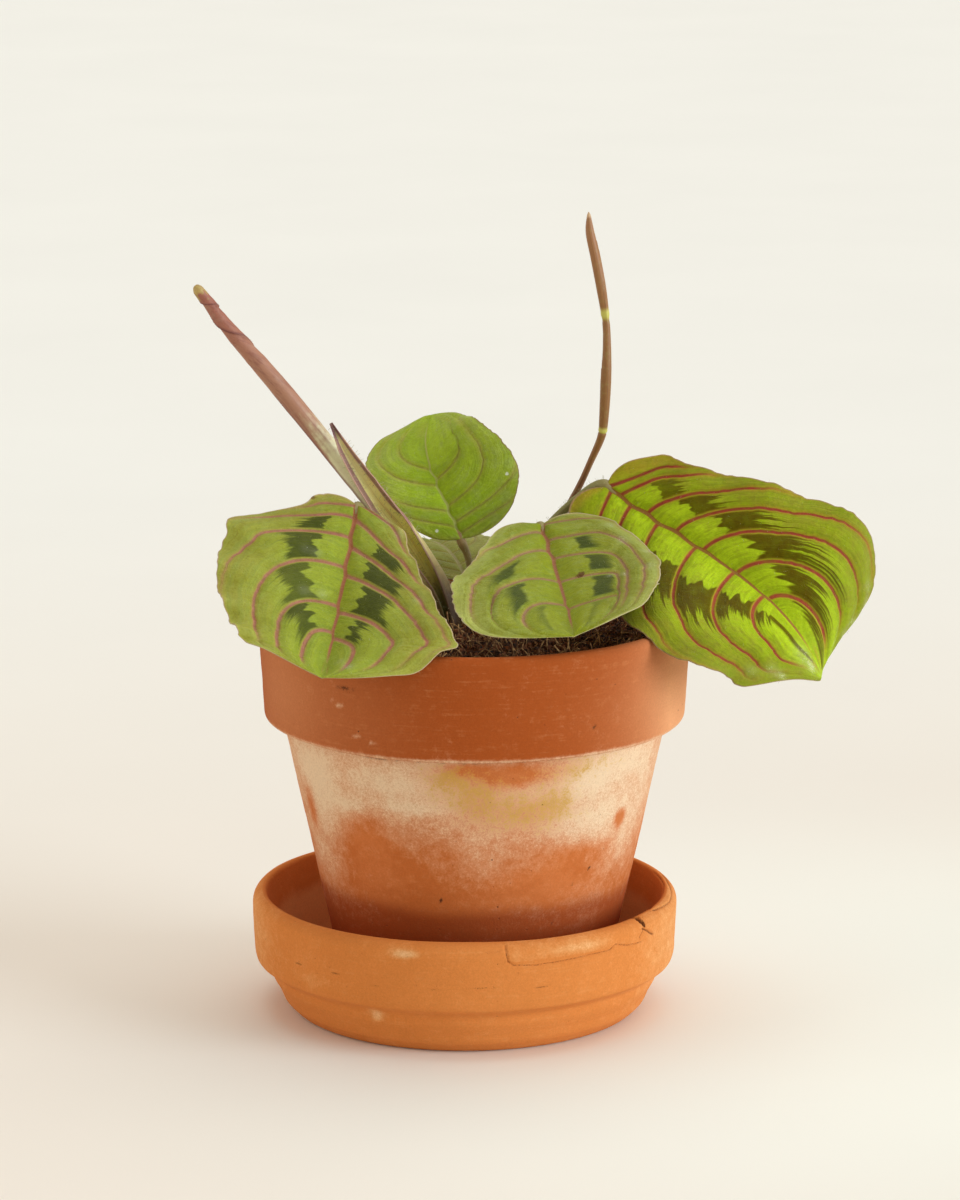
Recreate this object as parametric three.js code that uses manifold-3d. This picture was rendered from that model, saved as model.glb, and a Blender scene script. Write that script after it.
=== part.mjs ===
// A prayer plant (maranta) in a clay pot on its saucer.
// Millimetres and degrees. The origin is the centre of the saucer's flat underside, +Z is up and -Y is the front.
import * as THREE from "three";
import { mergeVertices } from "three/addons/utils/BufferGeometryUtils.js";
import Module from "manifold-3d";

// Clearance between neighbouring pieces, and the number of flats round the pottery.
const GAP = 0.3;
const ROUND_SEGMENTS = 48;

// Saucer: radii and heights of its section, from the axis round the outside to the inside.
const SAUCER_BASE_RADIUS = 50.8;
const SAUCER_RIM_RADIUS = 64.3;
const SAUCER_HEIGHT = 36.4;
const SAUCER_FLOOR_HEIGHT = 9;
const SAUCER_FLOOR_RADIUS = 48;
// The chip across the lip: where it is on the circle, its size and its lean.
const CHIP_BEARING = -34.5;
const CHIP_WIDTH = 1.5;
const CHIP_DEPTH = 3.2;
const CHIP_LENGTH = 9;
const CHIP_LEAN = 22;

// Pot: a standard 130 mm clay pot that stands a little off the saucer's centre.
const POT_OFFSET_X = 3;
const POT_FOOT_HEIGHT = SAUCER_FLOOR_HEIGHT + GAP;
const POT_HEIGHT = 112.8;
const POT_RIM_RADIUS = 65;
const POT_FOOT_RADIUS = 40.3;
const COLLAR_BOTTOM = 90.3;
const COLLAR_BOTTOM_RADIUS = 63.1;
const BODY_TOP_RADIUS = 57.7;
const POT_FLOOR_HEIGHT = 15.3;
const DRAIN_RADIUS = 6;
// The inside of the pot is one straight taper.
const INNER_TOP_RADIUS = 60.3;
const INNER_TOP_HEIGHT = 120;
const INNER_FOOT_RADIUS = 36;

// Soil: level of its top, the height of its lumps and the depth of the stem holes.
const SOIL_LEVEL = 116.6;
const SOIL_RELIEF = 1.3;
const SOIL_RINGS = 13;
const SOIL_EDGE_BAND = 6;
const HOLE_BOTTOM = 109;
const HOLE_SIDES = 10;

// Leaf blades: thickness, and how finely a blade is divided along and across.
const BLADE_THICKNESS = 0.8;
const BLADE_ROWS = 26;
const BLADE_COLUMNS = [-1, -0.86, -0.64, -0.34, 0, 0.34, 0.64, 0.86, 1];

// Each blade is set by its midrib, a cubic curve of four points. Left and right are those of
// somebody who looks along the midrib to the tip, with the upper face up.
// halfWidth has five stations from base to tip, fold is the lift of each half at the midrib, and
// curl is how much that lift grows to the margin, both at base, middle and tip.
// lobe is how far the base is swept back, wave is the margin's waves with a phase for each half, and
// a swell is a local bulge of the right (1) or left (-1) margin at a place from 0 to 1.
const LEAVES = [
  {
    name: "left_leaf",
    faceUp: [0, 0, 1],
    midrib: [
      [-31.9, -3, 154.4],
      [-35.2, -28, 138.8],
      [-39, -52.7, 117.5],
      [-40.8, -70, 117.7],
    ],
    roll: [2, 4],
    right: { halfWidth: [25, 38.5, 34.5, 30.5, 35], fold: [17, 19, 25], curl: [-14, -12, -8], lobe: 7, phase: -1.25 },
    left: { halfWidth: [25, 23.5, 28.5, 36, 34], fold: [9, 20, 12], curl: [-20, -12, -17], lobe: -3, phase: -1.2 },
    tipPower: 0.41,
    wave: { height: 1.5, count: 5.5 },
    swells: [
      { side: 1, station: 0.11, size: -5.8 },
      { side: 1, station: 0.24, size: 2 },
      { side: -1, station: 0.07, size: 3 },
      { side: -1, station: 0.72, size: 2.6 },
    ],
    colour: 0x6f8f2f,
  },
  {
    name: "middle_leaf",
    faceUp: [0, 0, 1],
    midrib: [
      [23, 2.5, 147.4],
      [27.2, -19.7, 137],
      [30.7, -44.8, 131.3],
      [31.6, -62.5, 128.1],
    ],
    roll: [1.5, -9.5],
    right: { halfWidth: [28, 23.5, 29, 31, 36.5], fold: [13, 17, 14], curl: [-15, -11, -13], lobe: 2, phase: 2.05 },
    left: { halfWidth: [29.5, 29.5, 27, 25, 24.5], fold: [15, 14, 19], curl: [-13, -14.5, -9.5], lobe: 7.9, phase: 3.7 },
    tipPower: 0.35,
    wave: { height: 1.2, count: 3.5 },
    swells: [
      { side: -1, station: 0.21, size: -2.3 },
      { side: -1, station: 0.64, size: -1.1 },
    ],
    colour: 0x758f34,
  },
  {
    name: "right_leaf",
    faceUp: [0, 0, 1],
    midrib: [
      [42.6, 11, 157.5],
      [65.5, 3, 141],
      [97, -22.8, 133.7],
      [105.8, -19, 105.8],
    ],
    roll: [-73, -27],
    right: { halfWidth: [27.5, 29.5, 39, 37.5, 15], fold: [11, 28, 7], curl: [-15, -1, -19], lobe: 10.4, phase: 0.1 },
    left: { halfWidth: [25.5, 23, 28, 38, 32], fold: [7, 13, 8], curl: [-19.5, -13.5, -17.5], lobe: 3.2, phase: 1.75 },
    tipPower: 0.4,
    wave: { height: 1.4, count: 4.5 },
    swells: [
      { side: -1, station: 0.14, size: 1.6 },
      { side: 1, station: 0.86, size: 6.7 },
    ],
    colour: 0x8aa52c,
  },
  {
    name: "back_leaf",
    faceUp: [0, -1, 0],
    midrib: [
      [-1.1, 16, 140.4],
      [-9.2, 19.5, 159],
      [-15.1, 27.5, 166.3],
      [-10, 40, 174],
    ],
    roll: [-16.5, 42],
    right: { halfWidth: [31.5, 28, 24, 21, 21], fold: [7, 12, 22], curl: [-18, -15, -7], lobe: 3, phase: 2.7 },
    left: { halfWidth: [21.5, 16, 17.5, 22, 17.5], fold: [7, 23, -2.5], curl: [-18.5, -7, -26], lobe: -1.5, phase: -0.45 },
    tipPower: 0.52,
    wave: { height: 0.6, count: 4 },
    swells: [],
    colour: 0x6f9a1e,
  },
  {
    name: "low_leaf",
    faceUp: [0, 0, 1],
    midrib: [
      [0, 23.5, 127],
      [-4, 38, 134],
      [-11, 55, 134],
      [-15, 69, 127],
    ],
    roll: [0, 0],
    right: { halfWidth: [15, 17, 17.5, 17, 14], fold: [10, 8, 6], curl: [-16, -14, -14], lobe: 3, phase: 1 },
    left: { halfWidth: [15, 17, 18, 17, 14], fold: [10, 8, 6], curl: [-16, -14, -14], lobe: 3, phase: 2.5 },
    tipPower: 0.5,
    wave: { height: 0.9, count: 4.5 },
    swells: [],
    colour: 0x77855a,
  },
];
const SWELL_LENGTH = 0.05;
// 27 / 4 makes the greatest value of r (1 - r) squared one, so a lobe's size is its reach in mm.
const LOBE_SCALE = 27 / 4;
// How quickly swells and waves grow from the base, and die away to the tip.
const SWELL_ONSET = 8;
const WAVE_ONSET = 4;
const WAVE_DECAY = 6;
// The step over which a blade's surface direction is measured.
const NORMAL_STEP = 0.01;

// Leaf stalks: radius, and the points from the foot in the soil to just below the blade's base.
// The last point is worked out from the blade.
const STALK_SIDES = 8;
const STALK_STEPS = 14;
const STALK_REACH = 0.035;
const STALK_CLEARANCE = 0.45;
const STALKS = [
  { name: "left_stalk", leaf: "left_leaf", radius: 1.3, points: [[-12, -6], [-18, -8, 131], [-27, -6, 146]] },
  { name: "middle_stalk", leaf: "middle_leaf", radius: 1.2, points: [[8.5, 2], [13, 4.5, 131], [19.5, 5.5, 143]] },
  { name: "right_stalk", leaf: "right_leaf", radius: 1.4, points: [[10, 13], [20, 18, 137], [32, 19, 150.5]] },
  { name: "back_stalk", leaf: "back_leaf", radius: 1.2, points: [[3.2, 15], [2, 16, 130], [0.5, 17, 136]] },
  { name: "low_stalk", leaf: "low_leaf", radius: 1.1, points: [[-3, 21.5], [-2.4, 21, 121], [-1.4, 21.4, 124]] },
];
const STALK_COLOUR = 0x8a7a3a;

// Rolled young leaf: its line from the soil to the tip, and the radius at each point.
const ROLLED_LEAF_LINE = [
  [-5.2, 9.6, HOLE_BOTTOM + GAP],
  [-5.6, 9.4, 118],
  [-10.4, 8.6, 129.2],
  [-17.9, 8, 140.2],
  [-28.2, 8, 154],
  [-42.6, 8, 172.7],
  [-60.1, 8, 194.4],
  [-69.9, 8, 205.5],
  [-79.4, 8, 218.1],
];
const ROLLED_LEAF_RADII = [2.8, 2.9, 2.9, 2.9, 2.9, 2.95, 2.9, 2.4, 1.75];
const ROLLED_LEAF_STEP = 0.35;
const ROLLED_LEAF_SIDES = 12;
const ROLLED_LEAF_SEAM = -60;

// Sheath: a boat-shaped channel that opens to the front, with its opening in degrees.
const SHEATH_LINE = [
  [-4.8, 1.6, HOLE_BOTTOM + GAP],
  [-5, 1.6, 119],
  [-8.4, 1.6, 129.5],
  [-17.8, 1.4, 144.8],
  [-24.1, 1, 152.8],
  [-29.4, 1, 160.7],
  [-35.3, 2, 169.8],
  [-39.8, 2.6, 178.4],
];
const SHEATH_RADII = [3.5, 3.6, 3.7, 3.6, 3.5, 3, 2, 0.5];
const SHEATH_OPENINGS = [24, 24, 40, 110, 150, 160, 170, 180];
const SHEATH_WALL = 0.8;
const SHEATH_ARC_STEPS = 9;
// Near its tip the sheath is so slim that its wall is this part of its radius.
const SHEATH_TIP_WALL = 0.6;

// Flower stem: its line from the soil to the tip, with the radius at each point. It bends at its two joints.
const FLOWER_LINE = [
  [15, 22, HOLE_BOTTOM + GAP],
  [15.5, 22.5, 119],
  [23, 25, 133],
  [30.4, 25, 146.9],
  [34.9, 22, 156],
  [37.8, 18, 163.5],
  [40.8, 13.5, 171.6],
  [41.4, 12.5, 174.3],
  [42, 11, 182.8],
  [42.3, 10, 192.3],
  [42.4, 10, 201.3],
  [42.1, 10, 207.6],
  [40.6, 9, 218],
  [38.8, 8, 227.5],
  [37.2, 8, 235.3],
  [36.8, 8, 241.2],
];
const FLOWER_RADII = [1.2, 1.2, 1.1, 1, 1, 1, 1.2, 1.3, 1.5, 1.55, 1.25, 1.15, 1.45, 1.45, 1.3, 0.4];
const FLOWER_SIDES = 8;
const LOFT_STEPS_PER_POINT = 2;

// Colours of the other pieces, and how rough each kind of surface is.
const TERRACOTTA = 0xb9683f;
const SAUCER_CLAY = 0xc98349;
const PEAT = 0x33221a;
const YOUNG_LEAF_COLOUR = 0xa07a62;
const SHEATH_COLOUR = 0x8d7350;
const FLOWER_COLOUR = 0x7a5a44;
const CLAY_ROUGHNESS = 0.9;
const PEAT_ROUGHNESS = 1;
const PLANT_ROUGHNESS = 0.5;

const toRadians = THREE.MathUtils.degToRad;
const wasm = await Module();
wasm.setup();

// A geometry as a solid that can be cut.
function toSolid(geometry) {
  const bare = geometry.clone();
  bare.deleteAttribute("normal");
  bare.deleteAttribute("uv");
  const merged = mergeVertices(bare, 1e-4);
  return new wasm.Manifold(
    new wasm.Mesh({
      numProp: 3,
      vertProperties: new Float32Array(merged.attributes.position.array),
      triVerts: new Uint32Array(merged.index.array),
    }),
  );
}

// A solid back as a geometry.
function toGeometry(solid) {
  const mesh = solid.getMesh();
  const geometry = new THREE.BufferGeometry();
  geometry.setAttribute("position", new THREE.BufferAttribute(mesh.vertProperties, 3));
  geometry.setIndex(new THREE.BufferAttribute(mesh.triVerts, 1));
  return geometry;
}

// A named mesh with its own plain material.
function makeMesh(name, geometry, colour, roughness) {
  const material = new THREE.MeshStandardMaterial({ color: colour, roughness, metalness: 0 });
  const mesh = new THREE.Mesh(geometry, material);
  mesh.name = name;
  return mesh;
}

// A geometry from points and triangles given as lists.
function indexedGeometry(points, triangles) {
  const geometry = new THREE.BufferGeometry();
  geometry.setAttribute("position", new THREE.Float32BufferAttribute(points.flat(), 3));
  geometry.setIndex(triangles.flat());
  return geometry;
}

// A solid of revolution about Z from a closed section of [radius, height] points.
function turned(section, closed) {
  const points = section.map(([radius, height]) => new THREE.Vector2(radius, height));
  if (closed) {
    points.push(points[0].clone());
  }
  const geometry = new THREE.LatheGeometry(points, ROUND_SEGMENTS);
  return geometry.rotateX(Math.PI / 2);
}

// Radius of the pot's inside at a height.
function innerRadius(height) {
  const slope = (INNER_TOP_RADIUS - INNER_FOOT_RADIUS) / (INNER_TOP_HEIGHT - POT_FLOOR_HEIGHT);
  return INNER_FOOT_RADIUS + slope * (height - POT_FLOOR_HEIGHT);
}

// The saucer: flat base, stepped wall, rounded lip and one small chip.
function makeSaucer() {
  const section = [
    [0, 0],
    [SAUCER_BASE_RADIUS, 0],
    [52.2, 0.6],
    [55.1, 3.4],
    [56.3, 6.5],
    [58.3, 10],
    [58.7, 12.6],
    [60.4, 14],
    [63.1, 15.6],
    [63.6, 18],
    [SAUCER_RIM_RADIUS, 32.8],
    [64, 34.2],
    [62.8, 35.7],
    [61.2, SAUCER_HEIGHT],
    [60.1, 36],
    [59.4, 34],
    [52.8, 12.4],
    [51, 10],
    [SAUCER_FLOOR_RADIUS, SAUCER_FLOOR_HEIGHT],
    [0, SAUCER_FLOOR_HEIGHT],
  ];
  const body = toSolid(turned(section, false));
  const chip = new THREE.BoxGeometry(CHIP_LENGTH, CHIP_WIDTH, CHIP_DEPTH * 2);
  chip.rotateX(toRadians(CHIP_LEAN));
  chip.translate(SAUCER_RIM_RADIUS - CHIP_LENGTH / 4, 0, SAUCER_HEIGHT);
  chip.rotateZ(toRadians(CHIP_BEARING));
  const chipped = body.subtract(toSolid(chip));
  return makeMesh("saucer", toGeometry(chipped), SAUCER_CLAY, CLAY_ROUGHNESS);
}

// The pot: tapered body, tall collar, rounded rim and a drain hole.
function makePot() {
  const top = POT_FOOT_HEIGHT + POT_HEIGHT;
  const section = [
    [DRAIN_RADIUS, POT_FOOT_HEIGHT + 0.8],
    [DRAIN_RADIUS + 0.8, POT_FOOT_HEIGHT],
    [POT_FOOT_RADIUS - 1.2, POT_FOOT_HEIGHT],
    [POT_FOOT_RADIUS + 0.2, POT_FOOT_HEIGHT + 1.2],
    [43.4, 24],
    [49.7, 53],
    [55.8, 81.6],
    [BODY_TOP_RADIUS, COLLAR_BOTTOM],
    [COLLAR_BOTTOM_RADIUS - 0.6, COLLAR_BOTTOM],
    [COLLAR_BOTTOM_RADIUS, COLLAR_BOTTOM + 0.9],
    [POT_RIM_RADIUS - 0.1, top - 3.6],
    [POT_RIM_RADIUS, top - 1.8],
    [POT_RIM_RADIUS - 0.7, top - 0.5],
    [POT_RIM_RADIUS - 2, top],
    [INNER_TOP_RADIUS + 1.3, top - 0.3],
    [INNER_TOP_RADIUS + 0.3, top - 1.2],
    [INNER_TOP_RADIUS, INNER_TOP_HEIGHT],
    [INNER_FOOT_RADIUS, POT_FLOOR_HEIGHT],
    [DRAIN_RADIUS, POT_FLOOR_HEIGHT - 0.5],
  ];
  const mesh = makeMesh("pot", turned(section, true), TERRACOTTA, CLAY_ROUGHNESS);
  mesh.position.x = POT_OFFSET_X;
  return mesh;
}

// Height of the lumps of the soil's top, from the pot's axis.
function soilLump(x, y) {
  const broad = Math.sin(x / 7.3 + 1.1) * Math.cos(y / 6.1 - 0.4);
  const fine = Math.sin(x / 3.1 + y / 4.3) * Math.cos(y / 2.7 - x / 5.9);
  return SOIL_RELIEF * (0.6 * broad + 0.5 * fine);
}

// The soil: it fills the pot's inside, with a lumpy top and a plain hole for each stem.
function makeSoil(stems) {
  const bottom = POT_FLOOR_HEIGHT + GAP;
  const topRadius = innerRadius(SOIL_LEVEL) - GAP;
  const bottomRadius = innerRadius(bottom) - GAP;
  const points = [[0, 0, SOIL_LEVEL + soilLump(0, 0)]];
  const triangles = [];
  for (let ring = 1; ring <= SOIL_RINGS; ring += 1) {
    const radius = (topRadius * ring) / SOIL_RINGS;
    const level = Math.min(1, (topRadius - radius) / SOIL_EDGE_BAND);
    for (let i = 0; i < ROUND_SEGMENTS; i += 1) {
      const angle = (2 * Math.PI * i) / ROUND_SEGMENTS;
      const x = radius * Math.cos(angle);
      const y = radius * Math.sin(angle);
      points.push([x, y, SOIL_LEVEL + soilLump(x, y) * level]);
    }
  }
  for (let i = 0; i < ROUND_SEGMENTS; i += 1) {
    const angle = (2 * Math.PI * i) / ROUND_SEGMENTS;
    points.push([bottomRadius * Math.cos(angle), bottomRadius * Math.sin(angle), bottom]);
  }
  const centre = points.push([0, 0, bottom]) - 1;
  const at = (ring, i) => 1 + (ring - 1) * ROUND_SEGMENTS + (i % ROUND_SEGMENTS);
  for (let i = 0; i < ROUND_SEGMENTS; i += 1) {
    triangles.push([0, at(1, i), at(1, i + 1)]);
    for (let ring = 1; ring <= SOIL_RINGS; ring += 1) {
      triangles.push([at(ring, i), at(ring + 1, i), at(ring + 1, i + 1)]);
      triangles.push([at(ring, i), at(ring + 1, i + 1), at(ring, i + 1)]);
    }
    triangles.push([at(SOIL_RINGS + 1, i + 1), at(SOIL_RINGS + 1, i), centre]);
  }
  const earth = indexedGeometry(points, triangles).translate(POT_OFFSET_X, 0, 0);
  let solid = toSolid(earth);
  for (const stem of stems) {
    const depth = SOIL_LEVEL + 2 * SOIL_RELIEF - HOLE_BOTTOM;
    const radius = stem.radius + 2 * GAP;
    const hole = new THREE.CylinderGeometry(radius, radius, depth, HOLE_SIDES);
    hole.rotateX(Math.PI / 2);
    hole.translate(stem.x, stem.y, HOLE_BOTTOM + depth / 2);
    solid = solid.subtract(toSolid(hole));
  }
  return makeMesh("soil", toGeometry(solid), PEAT, PEAT_ROUGHNESS);
}

// Smooth value along evenly spaced stations, for u from 0 to 1.
function station(values, u) {
  const last = values.length - 1;
  const place = Math.min(Math.max(u * last, 0), last);
  const i = Math.min(Math.floor(place), last - 1);
  const f = place - i;
  const p1 = values[i];
  const p2 = values[i + 1];
  const p0 = i > 0 ? values[i - 1] : 2 * p1 - p2;
  const p3 = i + 2 <= last ? values[i + 2] : 2 * p2 - p1;
  const linear = (p2 - p0) * f;
  const square = (2 * p0 - 5 * p1 + 4 * p2 - p3) * f * f;
  const cube = (3 * p1 - p0 - 3 * p2 + p3) * f * f * f;
  return 0.5 * (2 * p1 + linear + square + cube);
}

// A blade's frame at a place along its midrib: the point, and the directions along, to the right and up.
function midribFrame(leaf, s) {
  const control = leaf.midrib.map((point) => new THREE.Vector3(...point));
  const curve = new THREE.CubicBezierCurve3(...control);
  const point = curve.getPoint(s);
  const along = curve.getTangent(s);
  const flatSide = new THREE.Vector3().crossVectors(along, new THREE.Vector3(...leaf.faceUp)).normalize();
  const flatUp = new THREE.Vector3().crossVectors(flatSide, along);
  const roll = toRadians(leaf.roll[0] + (leaf.roll[1] - leaf.roll[0]) * s);
  const side = flatSide.clone().multiplyScalar(Math.cos(roll)).addScaledVector(flatUp, Math.sin(roll));
  const up = flatUp.clone().multiplyScalar(Math.cos(roll)).addScaledVector(flatSide, -Math.sin(roll));
  return { point, along, side, up };
}

// Half-width of a blade at a place along it, on its right (1) or left (-1) side.
function halfWidth(leaf, s, hand) {
  const side = hand > 0 ? leaf.right : leaf.left;
  let width = 2 * Math.sqrt(s) * (1 - s) ** leaf.tipPower * station(side.halfWidth, s);
  for (const swell of leaf.swells) {
    if (swell.side === hand) {
      width += swell.size * Math.exp(-(((s - swell.station) / SWELL_LENGTH) ** 2)) * Math.min(1, SWELL_ONSET * s);
    }
  }
  return width;
}

// A point of a blade's middle surface: s runs from base to tip, t from the left margin to the right one.
function bladePoint(leaf, s, t) {
  const frame = midribFrame(leaf, s);
  const hand = t >= 0 ? 1 : -1;
  const side = hand > 0 ? leaf.right : leaf.left;
  const outward = Math.abs(t);
  const width = halfWidth(leaf, s, hand);
  const fold = toRadians(station(side.fold, s));
  const curl = toRadians(station(side.curl, s));
  const across = (width / curl) * (Math.sin(fold + curl * outward) - Math.sin(fold));
  let lift = (-width / curl) * (Math.cos(fold + curl * outward) - Math.cos(fold));
  const ends = Math.min(1, WAVE_ONSET * s) * Math.min(1, WAVE_DECAY * (1 - s));
  lift += leaf.wave.height * Math.sin(2 * Math.PI * leaf.wave.count * s + side.phase) * outward ** 3 * ends;
  const root = Math.sqrt(s);
  const back = side.lobe * LOBE_SCALE * root * (1 - root) ** 2 * outward ** 2;
  return frame.point
    .addScaledVector(frame.side, hand * across)
    .addScaledVector(frame.up, lift)
    .addScaledVector(frame.along, -back);
}

// The direction that a blade's upper face looks in.
function bladeNormal(leaf, s, t) {
  if (s < NORMAL_STEP || s > 1 - NORMAL_STEP) {
    return midribFrame(leaf, s).up;
  }
  const half = NORMAL_STEP / 2;
  const alongStep = bladePoint(leaf, s + half, t).sub(bladePoint(leaf, s - half, t));
  const low = Math.max(t - NORMAL_STEP, -1);
  const high = Math.min(t + NORMAL_STEP, 1);
  const acrossStep = bladePoint(leaf, s, high).sub(bladePoint(leaf, s, low));
  return acrossStep.cross(alongStep).normalize();
}

// A blade as one thin closed body, divided alike on both faces.
function makeBlade(leaf) {
  const columns = BLADE_COLUMNS.length;
  const points = [];
  const faces = [1, -1].map((face) => {
    const rows = [];
    for (let row = 0; row <= BLADE_ROWS; row += 1) {
      const s = (1 - Math.cos((Math.PI * row) / BLADE_ROWS)) / 2;
      const ends = row === 0 || row === BLADE_ROWS;
      const line = (ends ? [0] : BLADE_COLUMNS).map((t) => {
        const offset = (face * BLADE_THICKNESS) / 2;
        const point = bladePoint(leaf, s, t).addScaledVector(bladeNormal(leaf, s, t), offset);
        return points.push(point.toArray()) - 1;
      });
      rows.push(ends ? new Array(columns).fill(line[0]) : line);
    }
    return rows;
  });
  const triangles = [];
  const add = (a, b, c) => {
    if (a !== b && b !== c && c !== a) {
      triangles.push([a, b, c]);
    }
  };
  const [upper, lower] = faces;
  for (let row = 0; row < BLADE_ROWS; row += 1) {
    for (let i = 0; i < columns - 1; i += 1) {
      add(upper[row][i], upper[row][i + 1], upper[row + 1][i + 1]);
      add(upper[row][i], upper[row + 1][i + 1], upper[row + 1][i]);
      add(lower[row][i], lower[row + 1][i + 1], lower[row][i + 1]);
      add(lower[row][i], lower[row + 1][i], lower[row + 1][i + 1]);
    }
    const right = columns - 1;
    add(upper[row][right], lower[row][right], lower[row + 1][right]);
    add(upper[row][right], lower[row + 1][right], upper[row + 1][right]);
    add(upper[row][0], lower[row + 1][0], lower[row][0]);
    add(upper[row][0], upper[row + 1][0], lower[row + 1][0]);
  }
  return makeMesh(leaf.name, indexedGeometry(points, triangles), leaf.colour, PLANT_ROUGHNESS);
}

// A leaf stalk: a round stem from its hole in the soil to just below the base of its blade.
function makeStalk(stalk) {
  const [foot, ...bends] = stalk.points;
  const leaf = LEAVES.find((one) => one.name === stalk.leaf);
  const seat = midribFrame(leaf, STALK_REACH);
  const below = BLADE_THICKNESS / 2 + STALK_CLEARANCE + stalk.radius;
  const end = seat.point.addScaledVector(seat.up, -below);
  const line = [
    new THREE.Vector3(...foot, HOLE_BOTTOM + GAP),
    new THREE.Vector3(...foot, SOIL_LEVEL + SOIL_RELIEF),
    ...bends.map((point) => new THREE.Vector3(...point)),
    end,
  ];
  const ring = [];
  for (let i = 0; i < STALK_SIDES; i += 1) {
    const angle = (2 * Math.PI * i) / STALK_SIDES;
    ring.push(new THREE.Vector2(stalk.radius * Math.cos(angle), stalk.radius * Math.sin(angle)));
  }
  const geometry = new THREE.ExtrudeGeometry(new THREE.Shape(ring), {
    steps: STALK_STEPS,
    bevelEnabled: false,
    extrudePath: new THREE.CatmullRomCurve3(line),
  });
  return makeMesh(stalk.name, geometry, STALK_COLOUR, PLANT_ROUGHNESS);
}

// A closed body along a line: sectionAt gives the closed outline, in the plane across the line, at a place from 0 to 1.
function loft(line, sectionAt) {
  const curve = new THREE.CatmullRomCurve3(line.map((point) => new THREE.Vector3(...point)));
  const steps = (line.length - 1) * LOFT_STEPS_PER_POINT;
  const depth = new THREE.Vector3(0, 1, 0);
  const points = [];
  const triangles = [];
  let count = 0;
  for (let step = 0; step <= steps; step += 1) {
    const u = step / steps;
    const centre = curve.getPoint(u);
    const along = curve.getTangent(u);
    const left = new THREE.Vector3().crossVectors(along, depth).normalize();
    const back = new THREE.Vector3().crossVectors(left, along);
    const section = sectionAt(u);
    count = section.length;
    for (const [a, b] of section) {
      points.push(centre.clone().addScaledVector(left, a).addScaledVector(back, b).toArray());
    }
  }
  for (let step = 0; step < steps; step += 1) {
    for (let i = 0; i < count; i += 1) {
      const next = (i + 1) % count;
      const low = step * count;
      const high = low + count;
      triangles.push([low + i, high + i, high + next]);
      triangles.push([low + i, high + next, low + next]);
    }
  }
  const flat = sectionAt(0).map(([a, b]) => new THREE.Vector2(a, b));
  for (const [a, b, c] of THREE.ShapeUtils.triangulateShape(flat, [])) {
    triangles.push([a, b, c]);
  }
  const end = sectionAt(1).map(([a, b]) => new THREE.Vector2(a, b));
  const top = steps * count;
  for (const [a, b, c] of THREE.ShapeUtils.triangulateShape(end, [])) {
    triangles.push([top + a, top + c, top + b]);
  }
  return indexedGeometry(points, triangles);
}

// The rolled young leaf: its section is a scroll, with a small step where the margin laps over.
function makeRolledLeaf() {
  const geometry = loft(ROLLED_LEAF_LINE, (u) => {
    const radius = station(ROLLED_LEAF_RADII, u);
    const section = [];
    for (let i = 0; i < ROLLED_LEAF_SIDES; i += 1) {
      const turn = i / (ROLLED_LEAF_SIDES - 1);
      const angle = 2 * Math.PI * (i / ROLLED_LEAF_SIDES) + toRadians(ROLLED_LEAF_SEAM);
      const reach = radius - ROLLED_LEAF_STEP * (1 - turn);
      section.push([reach * Math.cos(angle), reach * Math.sin(angle)]);
    }
    return section;
  });
  return makeMesh("rolled_leaf", geometry, YOUNG_LEAF_COLOUR, PLANT_ROUGHNESS);
}

// The sheath: a channel with a thin wall that is nearly shut at its foot and opens to a boat shape.
function makeSheath() {
  const geometry = loft(SHEATH_LINE, (u) => {
    const radius = station(SHEATH_RADII, u);
    const wall = Math.min(SHEATH_WALL, radius * SHEATH_TIP_WALL);
    const opening = toRadians(station(SHEATH_OPENINGS, u));
    const first = -Math.PI / 2 + opening / 2;
    const sweep = 2 * Math.PI - opening;
    const arc = (reach, i) => {
      const angle = first + (sweep * i) / SHEATH_ARC_STEPS;
      return [reach * Math.cos(angle), reach * Math.sin(angle)];
    };
    const outer = [];
    const inner = [];
    for (let i = 0; i <= SHEATH_ARC_STEPS; i += 1) {
      outer.push(arc(radius, i));
      inner.unshift(arc(radius - wall, i));
    }
    return [...outer, ...inner];
  });
  return makeMesh("sheath", geometry, SHEATH_COLOUR, PLANT_ROUGHNESS);
}

// The flower stem: slim, jointed and closed at its tip.
function makeFlowerStem() {
  const geometry = loft(FLOWER_LINE, (u) => {
    const radius = station(FLOWER_RADII, u);
    const section = [];
    for (let i = 0; i < FLOWER_SIDES; i += 1) {
      const angle = (2 * Math.PI * i) / FLOWER_SIDES;
      section.push([radius * Math.cos(angle), radius * Math.sin(angle)]);
    }
    return section;
  });
  return makeMesh("flower_stem", geometry, FLOWER_COLOUR, PLANT_ROUGHNESS);
}

// Where each stem stands in the soil.
function stemFeet() {
  const feet = STALKS.map((stalk) => ({ x: stalk.points[0][0], y: stalk.points[0][1], radius: stalk.radius }));
  const lofted = [
    [ROLLED_LEAF_LINE, ROLLED_LEAF_RADII],
    [SHEATH_LINE, SHEATH_RADII],
    [FLOWER_LINE, FLOWER_RADII],
  ];
  for (const [line, radii] of lofted) {
    const x = (line[0][0] + line[1][0]) / 2;
    const y = (line[0][1] + line[1][1]) / 2;
    feet.push({ x, y, radius: Math.max(radii[0], radii[1]) });
  }
  return feet;
}

const plant = new THREE.Group();
plant.add(...LEAVES.map(makeBlade));
plant.add(...STALKS.map(makeStalk));
plant.add(makeRolledLeaf(), makeSheath(), makeFlowerStem());

const part = new THREE.Group();
part.add(makeSaucer(), makePot(), makeSoil(stemFeet()), plant);

export default part;
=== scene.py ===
"""Potted prayer plant in a clay pot on its saucer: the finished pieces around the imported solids."""

import logging
import math
from collections.abc import Callable
from dataclasses import dataclass, field
from enum import Enum
from functools import partial
from itertools import product

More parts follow.
